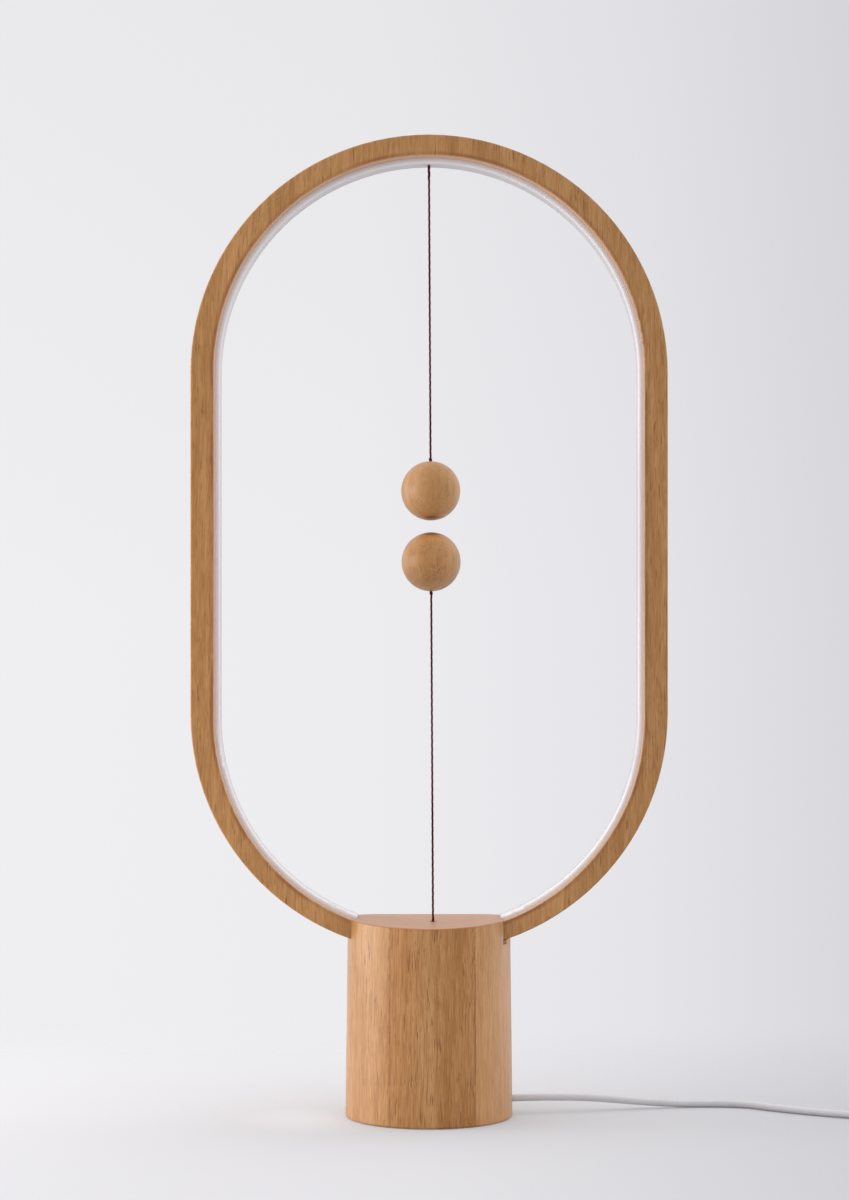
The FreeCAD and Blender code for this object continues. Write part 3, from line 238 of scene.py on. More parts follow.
def coil_points():
    """Control points of the coil's turns. They lie a little outside the turns that they make."""
    moves = coil_moves()
    end = COIL_END - COIL_START
    while end < moves[-1] + MOVE_SPAN:
        end += FULL_TURN
    outside = 1 / math.cos(math.radians(CONTROL_STEP / 2))
    found = []
    for step in range(1, int(end / CONTROL_STEP) + 1):
        at = step * CONTROL_STEP
        if at > end - CONTROL_STEP / 2:
            break
        radius, height = COIL_CELLS[0]
        for start, (r0, z0), (r1, z1) in zip(moves, COIL_CELLS, COIL_CELLS[1:]):
            share = min(max((at - start) / MOVE_SPAN, 0.0), 1.0)
            radius += (r1 - r0) * share
            height += (z1 - z0) * share
        turn = math.radians(COIL_START + at)
        wide = radius * outside * MM
        found.append((COIL_CENTRE.x + wide * math.cos(turn), COIL_CENTRE.y + wide * math.sin(turn),
                      height * MM))
    return found


cable_points = list(CABLE_ROUTE) + coil_points() + list(TAIL_ROUTE)
cable = spline_curve("cable", cable_points, CABLE_SMOOTHNESS, CABLE_RADIUS)
CABLE_LENGTH = line_length(spline_points(cable_points, CABLE_SMOOTHNESS))


# ---------------------------------------------------------------- node trees

def srgb(red, green, blue):
    """A colour written in 0 to 255 as linear values."""
    def one(value):
        value /= 255.0
        return value / 12.92 if value <= 0.04045 else ((value + 0.055) / 1.055) ** 2.4
    return (one(red), one(green), one(blue), 1.0)


def shaded(colour, share):
    """A colour made darker or lighter."""
    return tuple(min(1.0, c * share) for c in colour[:3]) + (1.0,)


class Graph:
    """Short words for building a node tree."""

    def __init__(self, tree):
        self.tree = tree
        tree.nodes.clear()

    def add(self, kind, inputs=None, **settings):
        item = self.tree.nodes.new(kind)
        for name, value in settings.items():
            setattr(item, name, value)
        for name, value in (inputs or {}).items():
            self.put(item.inputs[name], value)
        return item

    def put(self, socket, value):
        if isinstance(value, bpy.types.NodeSocket):
            self.tree.links.new(value, socket)
        else:
            socket.default_value = value

    def math(self, operation, a, b=0.0, clamp=False):
        item = self.add("ShaderNodeMath", operation=operation, use_clamp=clamp)
        self.put(item.inputs[0], a)
        self.put(item.inputs[1], b)
        return item.outputs[0]

    def plus(self, a, b):
        return self.math("ADD", a, b)

    def minus(self, a, b):
        return self.math("SUBTRACT", a, b)

    def times(self, a, b, clamp=False):
        return self.math("MULTIPLY", a, b, clamp)

    def length(self, a, b):
        """How far from zero the point with these two coordinates is."""
        return self.math("SQRT", self.plus(self.times(a, a), self.times(b, b)))

    def spread(self, value, low, high, to_low=0.0, to_high=1.0):
        """A value between low and high as its place between to_low and to_high."""
        item = self.add("ShaderNodeMapRange", {"Value": value, "From Min": low, "From Max": high,
                                               "To Min": to_low, "To Max": to_high})
        return item.outputs[0]

    def band(self, value, low, full_low, full_high, high):
        """A mask that is 1 between the two full values and 0 outside low and high."""
        return self.times(self.spread(value, high, full_high), self.spread(value, low, full_low))

    def ramp(self, value, stops, interpolation="LINEAR"):
        item = self.add("ShaderNodeValToRGB")
        item.color_ramp.interpolation = interpolation
        elements = item.color_ramp.elements
        while len(elements) < len(stops):
            elements.new(0.5)
        for element, (position, colour) in zip(elements, stops):
            element.position = position
            element.color = colour if hasattr(colour, "__len__") else (colour, colour, colour, 1.0)
        self.put(item.inputs[0], value)
        return item.outputs[0]

    def graded(self, value, reach, stops, interpolation="LINEAR"):
        """Colours along a value, with the stops spread over its reach."""
        return self.ramp(self.spread(value, *reach), stops, interpolation)

    def mix(self, factor, a, b, blend="MIX"):
        # The Mix node's colour sockets are inputs 6 and 7 and output 2.
        item = self.add("ShaderNodeMix", data_type="RGBA", blend_type=blend)
        self.put(item.inputs[0], factor)
        self.put(item.inputs[6], a)
        self.put(item.inputs[7], b)
        return item.outputs[2]

    def tinted(self, colour, *tints):
        """A colour multiplied by others."""
        for tint in tints:
            colour = self.mix(1.0, colour, tint, "MULTIPLY")
        return colour

    def grey(self, value):
        item = self.add("ShaderNodeCombineColor", {"Red": value, "Green": value, "Blue": value})
        return item.outputs[0]

    def place(self):
        return self.add("ShaderNodeTexCoord").outputs["Object"]

    def axes(self, vector):
        parts = self.add("ShaderNodeSeparateXYZ", {"Vector": vector}).outputs
        return parts["X"], parts["Y"], parts["Z"]

    def scaled(self, vector, scale, shift):
        item = self.add("ShaderNodeMapping", {"Vector": vector, "Scale": scale, "Location": shift})
        return item.outputs[0]

    def noise(self, vector, scale, detail, roughness=0.5):
        item = self.add("ShaderNodeTexNoise", {"Vector": vector, "Scale": scale, "Detail": detail,
                                               "Roughness": roughness})
        return item.outputs[0]

    def texture(self, vector, kind, shift):
        """A noise of one of the kinds listed for the wood."""
        scale, detail, roughness = kind
        return self.noise(self.scaled(vector, scale, shift), 1.0, detail, roughness)

    def pushed(self, vector, place, scale, shift, reach):
        """A vector pushed aside by a soft noise at a place."""
        push = self.add("ShaderNodeTexNoise", {"Vector": self.scaled(place, scale, shift), "Scale": 1.0,
                                               "Detail": 2.0}).outputs["Color"]
        item = self.add("ShaderNodeVectorMath", {0: push, 1: reach, 2: vector}, operation="MULTIPLY_ADD")
        return item.outputs[0]

    def seen(self):
        """1 where the surface is looked at, directly or in a reflection, and 0 where it lights others."""
        rays = self.add("ShaderNodeLightPath").outputs
        mirrored = self.math("MAXIMUM", rays["Is Glossy Ray"], rays["Is Transmission Ray"])
        return self.math("MAXIMUM", rays["Is Camera Ray"], mirrored)

    def finish(self, shader, kind="ShaderNodeOutputMaterial"):
        self.put(self.add(kind).inputs["Surface"], shader.outputs[0])


def new_material(name):
    material = bpy.data.materials.new(name)
    material.use_nodes = True
    return material, Graph(material.node_tree)


# ---------------------------------------------------------------- world, lights and floor

# What is seen behind the lamp: its colours from left to right, and how much darker it is further up.
BACKDROP_REACH = (-0.22, 0.22)
BACKDROP = ((0.0, srgb(240, 240, 243)), (0.45, srgb(237, 236, 239)), (0.7, srgb(229, 228, 232)),
            (1.0, srgb(209, 209, 214)))
UPWARD_REACH = (0.03, 0.30)
UPWARD = ((0.0, 1.0), (1.0, 0.945))
# What is seen in the other directions, from the horizon up, and where along Y the backdrop takes over.
ROOM_REACH = (-0.05, 0.40)
ROOM = ((0.0, srgb(222, 222, 225)), (1.0, srgb(188, 188, 191)))
ROOM_TO_BACKDROP = (-0.5, 0.3)
# The light that falls on the lamp: its strength from the front to the back, and its gain towards the top.
LIGHT_REACH, LIGHT_FRONT, LIGHT_BACK = (-0.9, 0.6), 0.585, 0.88
LIGHT_TOP_REACH, LIGHT_TOP = (0.0, 0.9), 2.05

# Soft rectangles of light: name, place, target, width and height, and brightness.
LIGHTS = (
    ("left_window", (-0.92, -0.04, 0.27), (0, 0.0, 0.22), (0.84, 0.42), 4.25),
    ("left_low", (-0.90, 0.0, 0.22), (0, 0, 0.10), (0.26, 0.26), 8.0),
    ("right_card", (0.92, 0.42, 0.42), (0, 0, 0.22), (1.1, 1.1), 0.9),
)

FLOOR_HALF, FLOOR_CELLS = 1.6, 64
# The floor's colours from left to right: its own, and the plain ones of which the camera sees a share.
FLOOR_REACH = (-0.20, 0.20)
FLOOR_COLOURS = ((0.0, srgb(208, 207, 210)), (0.5, srgb(204, 203, 206)), (1.0, srgb(184, 184, 188)))
FLOOR_GLOW = ((0.0, srgb(221, 220, 224)), (0.5, srgb(217, 216, 220)), (1.0, srgb(194, 194, 199)))
GLOW_SHARE = 0.25
# The floor is darker in front, darker at the far left under the lights, and has painted light at the base's
# left foot, over the base's shadow there.
FRONT_REACH, FRONT_SHADE = (-0.16, 0.03), ((0.0, 0.91), (1.0, 0.935))
LEFT_REACH, LEFT_SHADE = (-0.75, -0.20), 0.44
FOOT_PLACE, FOOT_REACH, FOOT_PAINTED_LIGHT = (-0.046, -0.012, 0.0), 0.035, 1.14
# It fades out into the backdrop behind the lamp and far away.
FADE_BACK, FADE_FAR = (0.05, 0.30), (0.7, 1.4)
FADE = ((0.0, 0.0), (1.0, 1.0))


def make_world():
    world = bpy.data.worlds.new("studio")
    scene.world = world
    world.use_nodes = True
    g = Graph(world.node_tree)
    x, y, z = g.axes(g.add("ShaderNodeTexCoord").outputs["Generated"])
    backdrop = g.tinted(g.graded(x, BACKDROP_REACH, BACKDROP), g.graded(z, UPWARD_REACH, UPWARD))
    shown = g.mix(g.spread(y, *ROOM_TO_BACKDROP), g.graded(z, ROOM_REACH, ROOM), backdrop)
    light = g.times(g.spread(y, *LIGHT_REACH, LIGHT_FRONT, LIGHT_BACK),
                    g.spread(z, *LIGHT_TOP_REACH, 1.0, LIGHT_TOP))
    colour = g.mix(g.seen(), g.grey(light), shown)
    g.finish(g.add("ShaderNodeBackground", {"Color": colour, "Strength": 1.0}), "ShaderNodeOutputWorld")


def make_light(name, place, target, size, radiance):
    data = bpy.data.lights.new(name, "AREA")
    data.shape = "RECTANGLE"
    data.size, data.size_y = size
    data.energy = radiance * math.pi * size[0] * size[1]
    lamp = link(bpy.data.objects.new(name, data))
    lamp.location = place
    lamp.rotation_euler = (Vector(target) - Vector(place)).to_track_quat("-Z", "Y").to_euler()


def floor_material():
    """A pale matt floor. What the camera sees of it is partly plain colour, without light and shadow."""
    material, g = new_material("floor")
    place = g.place()
    x, y, _ = g.axes(place)
    in_front = g.graded(y, FRONT_REACH, FRONT_SHADE)
    at_left = g.grey(g.spread(x, *LEFT_REACH, LEFT_SHADE, 1.0))
    # Painted light beside the base's left foot, over its shadow on the floor.
    gap = g.add("ShaderNodeVectorMath", {0: place, 1: FOOT_PLACE}, operation="DISTANCE").outputs["Value"]
    painted_light_at_foot = g.grey(g.spread(gap, 0.0, FOOT_REACH, FOOT_PAINTED_LIGHT, 1.0))
    colour = g.tinted(g.graded(x, FLOOR_REACH, FLOOR_COLOURS), in_front, at_left, painted_light_at_foot)
    glow = g.tinted(g.graded(x, FLOOR_REACH, FLOOR_GLOW), in_front, painted_light_at_foot)
    plain = g.add("ShaderNodeBsdfDiffuse", {"Color": colour, "Roughness": 0.0})
    shine = g.add("ShaderNodeEmission", {"Color": glow, "Strength": 1.0})
    surface = g.add("ShaderNodeMixShader", {0: g.times(g.seen(), GLOW_SHARE), 1: plain.outputs[0],
                                            2: shine.outputs[0]})
    faded = g.math("MAXIMUM", g.graded(y, FADE_BACK, FADE, "EASE"),
                   g.graded(g.length(x, y), FADE_FAR, FADE, "EASE"))
    gone = g.add("ShaderNodeBsdfTransparent")
    g.finish(g.add("ShaderNodeMixShader", {0: faded, 1: surface.outputs[0], 2: gone.outputs[0]}))
    return material


def make_floor():
    """A square floor, as a grid of cells."""
    row_length = FLOOR_CELLS + 1
    lines = [(step / FLOOR_CELLS - 0.5) * 2 * FLOOR_HALF for step in range(row_length)]
    verts = [(x, y, 0.0) for y in lines for x in lines]
    faces = []
    for row in range(FLOOR_CELLS):
        for column in range(FLOOR_CELLS):
            corner = row * row_length + column
            faces.append((corner, corner + 1, corner + row_length + 1, corner + row_length))
    floor = mesh_object("floor", verts, faces)
    floor.data.materials.append(floor_material())


make_world()
make_floor()
for light_row in LIGHTS:
    make_light(*light_row)

scene.view_settings.view_transform = "Standard"


# ---------------------------------------------------------------- wood

# The heights between which the ring's two sides are straight.
LOOP_LOW, LOOP_HIGH = 0.1676, 0.3136
# How far from the loop's middle line the ring's front edge has a dark line, and where its lip is, paler wood
# with a painted highlight on its rounded edge: each mask starts at the first value, is full from the second
# to the third, and ends at the fourth.
RIM_BAND = (0.0904, 0.0907, 0.0909, 0.0922)
LIP_BAND = (0.0885, 0.0892, 0.0900, 0.09042)

# The wood's noises: how fast each changes along X, Y and Z per metre, its detail and its roughness.
BROAD = ((60, 60, 7), 2.0, 0.5)
BANDS = ((420, 420, 17), 4.0, 0.7)
FIBRE = ((1900, 1900, 90), 3.0, 0.7)
HAIR = ((5200, 5200, 210), 2.0, 0.6)
PATCHES = ((110, 110, 24), 2.0, 0.5)
STREAKS = ((1350, 1350, 46), 3.0, 0.6)
PORES = ((1900, 1900, 125), 1.0, 0.5)
JOINT_WANDER = ((0, 0, 48), 6.0, 0.72)
JOINT_BREAKS = ((0, 0, 95), 4.0, 0.7)
RIM_BREAKS = ((70, 70, 70), 2.0, 0.5)
TOP_CLOUDS = ((55, 240, 55), 3.0, 0.6)

# Two noises bend the grain, a wide one and a narrow one: how fast each changes, and how far it pushes.
BENDS = (((24, 24, 11), (0.006, 0.006, 0.0)), ((140, 140, 75), (0.0011, 0.0011, 0.0)))
SEED_SHIFT = (1.37, 2.11, 0.73)
# The grain is a sum of three noises, with a share for the fibres that each wood sets.
BAND_SHARE, BROAD_AND_FIBRE = 0.32, 0.68
GRAIN_DARK, GRAIN_LIGHT = 0.385, 0.615
# Streaks and pores: noise, shift, and the values at which a mark begins and is full.
MARKS = ((STREAKS, (3, 0, 0), 0.53, 0.68), (PORES, (0, 5, 0), 0.62, 0.70))
MARK_STRENGTH = 0.8
# The joints between staves: how far they wander, half their width, where their line has faded out, and how
# it comes and goes with its noise.
JOINT_SWING, JOINT_HALF, JOINT_FADE, JOINT_BROKEN = 0.0030, 0.0001, 0.0004, (0.42, 0.56, 0.15, 0.95)
RIM_BROKEN, LIP_STRENGTH = (0.40, 0.60, 0.25, 0.8), 0.8
# The base's upper side, by how far a surface faces up: its edge's mask, and where the upper side begins.
EDGE_BAND, EDGE_STRENGTH = (0.10, 0.45, 0.70, 0.92), 0.5
TOP_REACH, TOP_STRENGTH, TOP_SHADE = (0.55, 0.90), 0.78, 0.80
TOP_CLOUD_REACH, TOP_CLOUD_SHIFT = (0.36, 0.56), (0.7, 0.2, 0.0)
HEART_FULL, HEART_EDGE, HEART_STRENGTH = 0.0018, 0.0034, 0.7
HAIR_TONE = (0.30, 0.70, 0.92, 1.07)
LEAN_REACH = (-0.1, 0.1)
WOOD_ROUGHNESS = (0.46, 0.54)
WOOD_BUMP, WOOD_BUMP_DISTANCE, FIBRE_HEIGHT, PORE_DEPTH = 0.2, 0.00005, 0.3, 0.7
NOISE_REACH = (0.3, 0.7)


def finish_bumpy(g, shader, height, strength, distance):
    bump = g.add("ShaderNodeBump", {"Height": height, "Strength": strength, "Distance": distance})
    g.put(shader.inputs["Normal"], bump.outputs[0])
    g.finish(shader)


def beyond_straight(g, z):
    """How far above or below the loop's straight sides a height lies."""
    return g.minus(z, g.math("MAXIMUM", LOOP_LOW, g.math("MINIMUM", LOOP_HIGH, z)))


def stave_joints(g, place, shift, joints, grain, density):
    """The grain and the amount of streaks, changed from each joint on, and a mask of the joints' lines."""
    wander = g.minus(g.texture(place, JOINT_WANDER, shift), 0.5)
    across = g.plus(g.axes(place)[0], g.times(wander, JOINT_SWING))
    seam = 0.0
    for at, change, extra, strength in joints:
        past = g.spread(across, at - JOINT_HALF, at + JOINT_HALF)
        grain = g.plus(grain, g.times(past, change))
        density = g.plus(g.times(past, extra), density)
        gap = g.math("ABSOLUTE", g.minus(across, at))
        seam = g.math("MAXIMUM", seam, g.spread(gap, JOINT_FADE, JOINT_HALF, 0.0, strength))
    breaks = g.spread(g.texture(place, JOINT_BREAKS, shift), *JOINT_BROKEN)
    return grain, density, g.times(seam, breaks)


def ring_edges(g, place, shift, colour, rim, lip):
    """A dark line that comes and goes along the ring's inner front edge, and the lip inside it: paler wood
    with a painted highlight along its rounded edge.
    """
    x, _, z = g.axes(place)
    reach = g.length(x, beyond_straight(g, z))
    breaks = g.spread(g.texture(place, RIM_BREAKS, shift), *RIM_BROKEN)
    colour = g.mix(g.times(g.band(reach, *RIM_BAND), breaks), colour, rim)
    # The lip: paler wood with a painted highlight along the rounded edge.
    return g.mix(g.times(g.band(reach, *LIP_BAND), LIP_STRENGTH), colour, lip)


def base_top(g, place, normal, colour, rim, top):
    """The base's cloudy upper side, and the dark line round its rounded edge."""
    facing = g.axes(normal)[2]
    colour = g.mix(g.times(g.band(facing, *EDGE_BAND), EDGE_STRENGTH), colour, rim)
    low, high = TOP_CLOUD_REACH
    clouds = g.ramp(g.texture(place, TOP_CLOUDS, TOP_CLOUD_SHIFT),
                    [(low, shaded(top, TOP_SHADE)), (high, top)])
    return g.mix(g.times(g.spread(facing, *TOP_REACH), TOP_STRENGTH), colour, clouds)


def wood(name, dark, light, streak, fleck, seed=0.0, amount=1.0, fine=0.38, busy_low=0.45,
         patchy=(0.36, 0.62), coat=1.0, lean=(1.0, 1.0), joints=(), lift=(), spot=None, rim=None, lip=None,
         top=None):
    """Pale hardwood with upright grain: soft bands, fine fibres, brown streaks and short dark pores.
    fine is the share of the fibres in the grain. amount scales the streaks and pores. They come in patches:
    patchy gives the two values of the patches' noise between which they rise to their full amount, and
    busy_low the share of it that shows elsewhere. joints gives the places along X where one stave meets the
    next, with the change there in lightness and in the amount of streaks, and the strength of the dark line.
    spot is the place in X and Y of a darker heart. lift gives heights along Z with the painted light and
    shade there, and lean is the lightness at the left side and at the right side. rim, lip and top are the
    colours of the edge lines, of the lip, which is paler wood with a painted highlight, and of the upper
    side."""
    material, g = new_material(name)
    coordinates = g.add("ShaderNodeTexCoord").outputs
    place = coordinates["Object"]
    x, y, z = g.axes(place)
    shift = tuple(seed * share for share in SEED_SHIFT)
    bent = place
    for scale, reach in BENDS:
        bent = g.pushed(bent, place, scale, shift, reach)
    broad, bands, fibre = (g.texture(bent, kind, shift) for kind in (BROAD, BANDS, FIBRE))
    grain = g.plus(g.times(broad, BROAD_AND_FIBRE - fine),
                   g.plus(g.times(bands, BAND_SHARE), g.times(fibre, fine)))
    density = amount
    if joints:
        grain, density, seam = stave_joints(g, place, shift, joints, grain, density)
    colour = g.ramp(grain, [(GRAIN_DARK, dark), (GRAIN_LIGHT, light)])
    busy = g.times(g.spread(g.texture(bent, PATCHES, shift), *patchy, busy_low, 1.0), density)
    for (kind, aside, low, high), tint in zip(MARKS, (streak, fleck)):
        moved = tuple(a + b for a, b in zip(shift, aside))
        marks = g.times(g.spread(g.texture(bent, kind, moved), low, high), busy, clamp=True)
        colour = g.mix(g.times(marks, MARK_STRENGTH, clamp=True), colour, tint)
    pores = marks
    if joints:
        colour = g.mix(seam, colour, fleck)
    if spot is not None:
        reach = g.length(g.minus(x, spot[0]), g.minus(y, spot[1]))
        colour = g.mix(g.times(g.spread(reach, HEART_EDGE, HEART_FULL), HEART_STRENGTH), colour, fleck)
    if lip is not None:
        colour = ring_edges(g, place, shift, colour, rim, lip)
    if top is not None:
        colour = base_top(g, place, coordinates["Normal"], colour, rim, top)
    hair = g.spread(g.texture(bent, HAIR, shift), *HAIR_TONE)
    colour = g.tinted(colour, g.grey(g.times(hair, g.spread(x, *LEAN_REACH, *lean))))
    # Painted light and shade along Z.
    if lift:
        low, high = lift[0][0], lift[-1][0]
        stops = [((at - low) / (high - low), level) for at, level in lift]
        colour = g.tinted(colour, g.graded(z, (low, high), stops))
    shader = g.add("ShaderNodeBsdfPrincipled", {
        "Base Color": colour, "Roughness": g.spread(fibre, *NOISE_REACH, *WOOD_ROUGHNESS),
        "Specular IOR Level": 0.2, "Coat Weight": coat, "Coat Roughness": 0.46, "Coat IOR": 1.5})
    height = g.minus(g.times(fibre, FIBRE_HEIGHT), g.times(pores, PORE_DEPTH))
    finish_bumpy(g, shader, height, WOOD_BUMP, WOOD_BUMP_DISTANCE)
    return material


# ---------------------------------------------------------------- plastics and metals

METAL = {"Metallic": 1.0}
# Plain finishes: colour, roughness, grain per metre, variation of the colour, depth of the bump, and what
# else the shader is given.
PLAIN_FINISHES = {
    "thread_silk": (srgb(84, 22, 36), 0.75, 9000.0, 0.25, 0.3, {"Specular IOR Level": 0.08}),
    "cable_jacket": (srgb(196, 194, 197), 0.42, 2500.0, 0.03, 0.05),
    "foot_rubber": (srgb(38, 38, 40), 0.8, 2600.0, 0.2, 0.5),
    "black_nylon": (srgb(34, 34, 36), 0.5, 2400.0, 0.15, 0.2),
    "white_nylon": (srgb(226, 224, 218), 0.42, 2200.0, 0.03, 0.1),
    "red_button": (srgb(168, 34, 30), 0.4, 2200.0, 0.06, 0.1),
    "board_mask": (srgb(22, 84, 52), 0.35, 1500.0, 0.12, 0.1),
    "chip_phosphor": (srgb(236, 208, 96), 0.35, 2600.0, 0.05, 0.1),
    "strip_mask": (srgb(234, 234, 230), 0.4, 1800.0, 0.03, 0.1),
    "wire_red": (srgb(160, 32, 30), 0.4, 1800.0, 0.08, 0.05),
    "plug_grey": (srgb(172, 170, 173), 0.48, 2400.0, 0.03, 0.12),
    "strap_felt": (srgb(188, 186, 190), 0.9, 4200.0, 0.1, 0.7),
    "steel": (srgb(176, 176, 178), 0.32, 900.0, 0.08, 0.1, METAL),
    "brass": (srgb(196, 164, 98), 0.3, 900.0, 0.08, 0.1, METAL),
    "magnet_nickel": (srgb(196, 196, 198), 0.2, 900.0, 0.08, 0.1, METAL),
}
# How fast the clouds of colour change per metre, and the values between which they do.
PLAIN_CLOUDS, PLAIN_CLOUD_REACH = 60.0, (0.35, 0.65)
PLAIN_ROUGHNESS_SWING, PLAIN_BUMP_DISTANCE = 0.05, 0.00003

# The milky strip: its clouds and grain, its painted shade towards the right, its painted light at the
# front edge, its painted shade at the back edge, and how its colour changes along the bows.
MILK_CLOUDS, MILK_FINE = 45.0, 3000.0
MILK_SHADE_TO_RIGHT_REACH, MILK_SHADE_TO_RIGHT = (-0.09, 0.09), 0.86
MILK_FRONT_LIGHT_REACH, MILK_FRONT_LIGHT_STRENGTH = (-0.0030, -0.0046), 0.9
MILK_BACK_SHADE_REACH = (0.0026, 0.0034)
MILK_BOW_REACH, MILK_BOW = (0.0, 0.03), srgb(252, 255, 254)
MILK_ROUGHNESS = (0.54, 0.64)


def plain(name, colour, roughness, grain, vary, strength, sockets=None):
    """A plastic or a metal with a fine grain and a colour that varies a little."""
    material, g = new_material(name)
    place = g.place()
    fine = g.noise(place, grain, 2.0)
    low, high = PLAIN_CLOUD_REACH
    clouds = g.ramp(g.noise(place, PLAIN_CLOUDS, 3.0),
                    [(low, shaded(colour, 1 - vary)), (high, shaded(colour, 1 + vary))])
    rough = g.spread(fine, *NOISE_REACH, roughness - PLAIN_ROUGHNESS_SWING,
                     roughness + PLAIN_ROUGHNESS_SWING)
    shader = g.add("ShaderNodeBsdfPrincipled", {"Base Color": clouds, "Roughness": rough, **(sockets or {})})
    finish_bumpy(g, shader, fine, strength, PLAIN_BUMP_DISTANCE)
    return material


def milk(name, colour, front, back):
    """Milky plastic, with painted light along its front edge, painted shade along its back edge and towards
    the right, and a little cooler along the bows."""
    material, g = new_material(name)
    place = g.place()
    x, y, z = g.axes(place)
    low, high = PLAIN_CLOUD_REACH
    tint = g.ramp(g.noise(place, MILK_CLOUDS, 3.0), [(low, shaded(colour, 0.96)), (high, colour)])
    # Painted shade towards the right.
    tint = g.tinted(tint, g.grey(g.spread(x, *MILK_SHADE_TO_RIGHT_REACH, 1.0, MILK_SHADE_TO_RIGHT)))
    # Painted light along the front edge.
    tint = g.mix(g.times(g.spread(y, *MILK_FRONT_LIGHT_REACH), MILK_FRONT_LIGHT_STRENGTH), tint, front)
    # Painted shade along the back edge.
    tint = g.mix(g.spread(y, *MILK_BACK_SHADE_REACH), tint, back)
    bowed = g.spread(g.math("ABSOLUTE", beyond_straight(g, z)), *MILK_BOW_REACH)
    tint = g.mix(bowed, tint, g.tinted(tint, MILK_BOW))
    rough = g.spread(g.noise(place, MILK_FINE, 2.0), *NOISE_REACH, *MILK_ROUGHNESS)
    g.finish(g.add("ShaderNodeBsdfPrincipled", {"Base Color": tint, "Roughness": rough,
                                                "Specular IOR Level": 0.15}))
    return material


# ---------------------------------------------------------------- finishes of the nodes

# For each wood: the dark and the light colour of its grain, its streaks and its pores.
finishes = {
    "base_beech": wood(
        "base_beech", srgb(159, 103, 35), srgb(197, 146, 92), srgb(149, 90, 21), srgb(115, 62, 6),
        joints=((-0.0162, -0.012, 0.1, 0.8), (0.0028, -0.055, 0.0, 0.15), (0.0190, 0.085, -0.9, 0.85)),
        amount=1.1, top=srgb(180, 115, 50), rim=srgb(150, 90, 44), fine=0.42),
    "ring_beech": wood(
        "ring_beech", srgb(151, 99, 34), srgb(189, 138, 82), srgb(147, 90, 23), srgb(113, 63, 7),
        # The lip's colour is paler wood with a painted highlight along the rounded front edge.
        seed=3.0, amount=0.85, rim=srgb(130, 70, 24), lip=srgb(192, 150, 118), busy_low=0.65, fine=0.41,
        lean=(1.12, 1.0)),
    "ball_beech": wood(
        "ball_beech", srgb(163, 110, 50), srgb(198, 149, 97), srgb(152, 94, 30), srgb(110, 61, 9),
        seed=5.0, amount=1.1, busy_low=0.0, fine=0.18, patchy=(0.50, 0.70), coat=0.8,
        # Painted shade low on the lower ball and painted light near its top, where the upper ball shades it.
        lift=((0.2218, 0.80), (0.2260, 0.86), (0.2320, 0.98), (0.2390, 1.03), (0.2430, 1.15),
              (0.2465, 1.20), (0.2480, 1.0), (0.2800, 1.0))),
    "plug_beech": wood(
        "plug_beech", srgb(154, 97, 36), srgb(178, 121, 56), srgb(140, 80, 26), srgb(116, 62, 18),
        seed=8.0, amount=0.8, spot=(0.0008, -0.0035), coat=0.8),
    # The diffuser: its own colour, the painted light of its front edge and the painted shade of its back
    # edge.
    "diffuser_milk": milk("diffuser_milk", srgb(212, 206, 209), srgb(233, 227, 230), srgb(184, 185, 189)),
}
for finish_name, row in PLAIN_FINISHES.items():
    finishes[finish_name] = plain(finish_name, *row)

NODE_FINISH = {
    "base_beech": ("base_body", "saddle_block"),
    "ring_beech": ("ring_frame",),
    "ball_beech": ("upper_ball", "lower_ball"),
    "plug_beech": ("upper_ball_plug", "lower_ball_plug"),
    "diffuser_milk": ("diffuser",),
    "foot_rubber": ("foot_pad",),
    "black_nylon": ("bottom_cover", "switch_frame", "microswitch_body", "driver_components", "cable_clamp"),
    "steel": ("cover_screws", "ballast_screws", "ballast_weight", "board_screws", "ring_screws",
              "frame_screws", "microswitch_screws", "switch_spring", "microswitch_lever", "lever_pin",
              "usb_plug_shell"),
    "brass": ("board_standoffs", "microswitch_terminals", "thread_anchor", "thread_guide", "upper_crimp",
              "lower_crimp"),
    "magnet_nickel": ("upper_magnet", "lower_magnet"),
    "board_mask": ("circuit_board",),
    "white_nylon": ("board_connectors", "switch_plunger", "usb_plug_tongue"),
    "strap_felt": ("coil_tie",),
    "red_button": ("microswitch_button",),
    "strip_mask": ("led_strips",),
    "chip_phosphor": ("led_chips",),
    "wire_red": ("led_wires", "switch_wires"),
    "cable_jacket": ("inner_cable",),
    "plug_grey": ("cable_grommet", "usb_plug_body"),
    "thread_silk": ("upper_thread_stub", "lower_thread_inner", "anchor_knot", "plunger_knot",
                    "upper_exit_knot", "lower_stop_knot", "upper_ball_knot", "lower_ball_knot"),
}
for finish_name, node_names in NODE_FINISH.items():
    for node_name in node_names:
        for material_slot in nodes[node_name].material_slots:
            material_slot.material = finishes[finish_name]


# ---------------------------------------------------------------- threads and knots

# The string runs in one straight line from where it leaves the ring to where it enters the base.
ANCHOR = Vector((0.0, 0.0, 0.4010))
STOP = Vector((0.0017, 0.0, 0.0812))
DOWN = (STOP - ANCHOR).normalized()

THREAD_RADIUS = 0.00047
PLIES, PLY_RADIUS, PLY_PITCH = 3, 0.00027, 0.0102
THREAD_STEP = 0.00035
# How much further out the plies lie beside a knot, and how soon that is reached.
KNOT_SWELL, KNOT_NEARNESS = 0.6, 2.5

# Where each thread starts and ends, seen from the anchor or from the stop.
THREAD_START, UPPER_THREAD_END, LOWER_THREAD_END = 0.0001, 0.1415, 0.1572

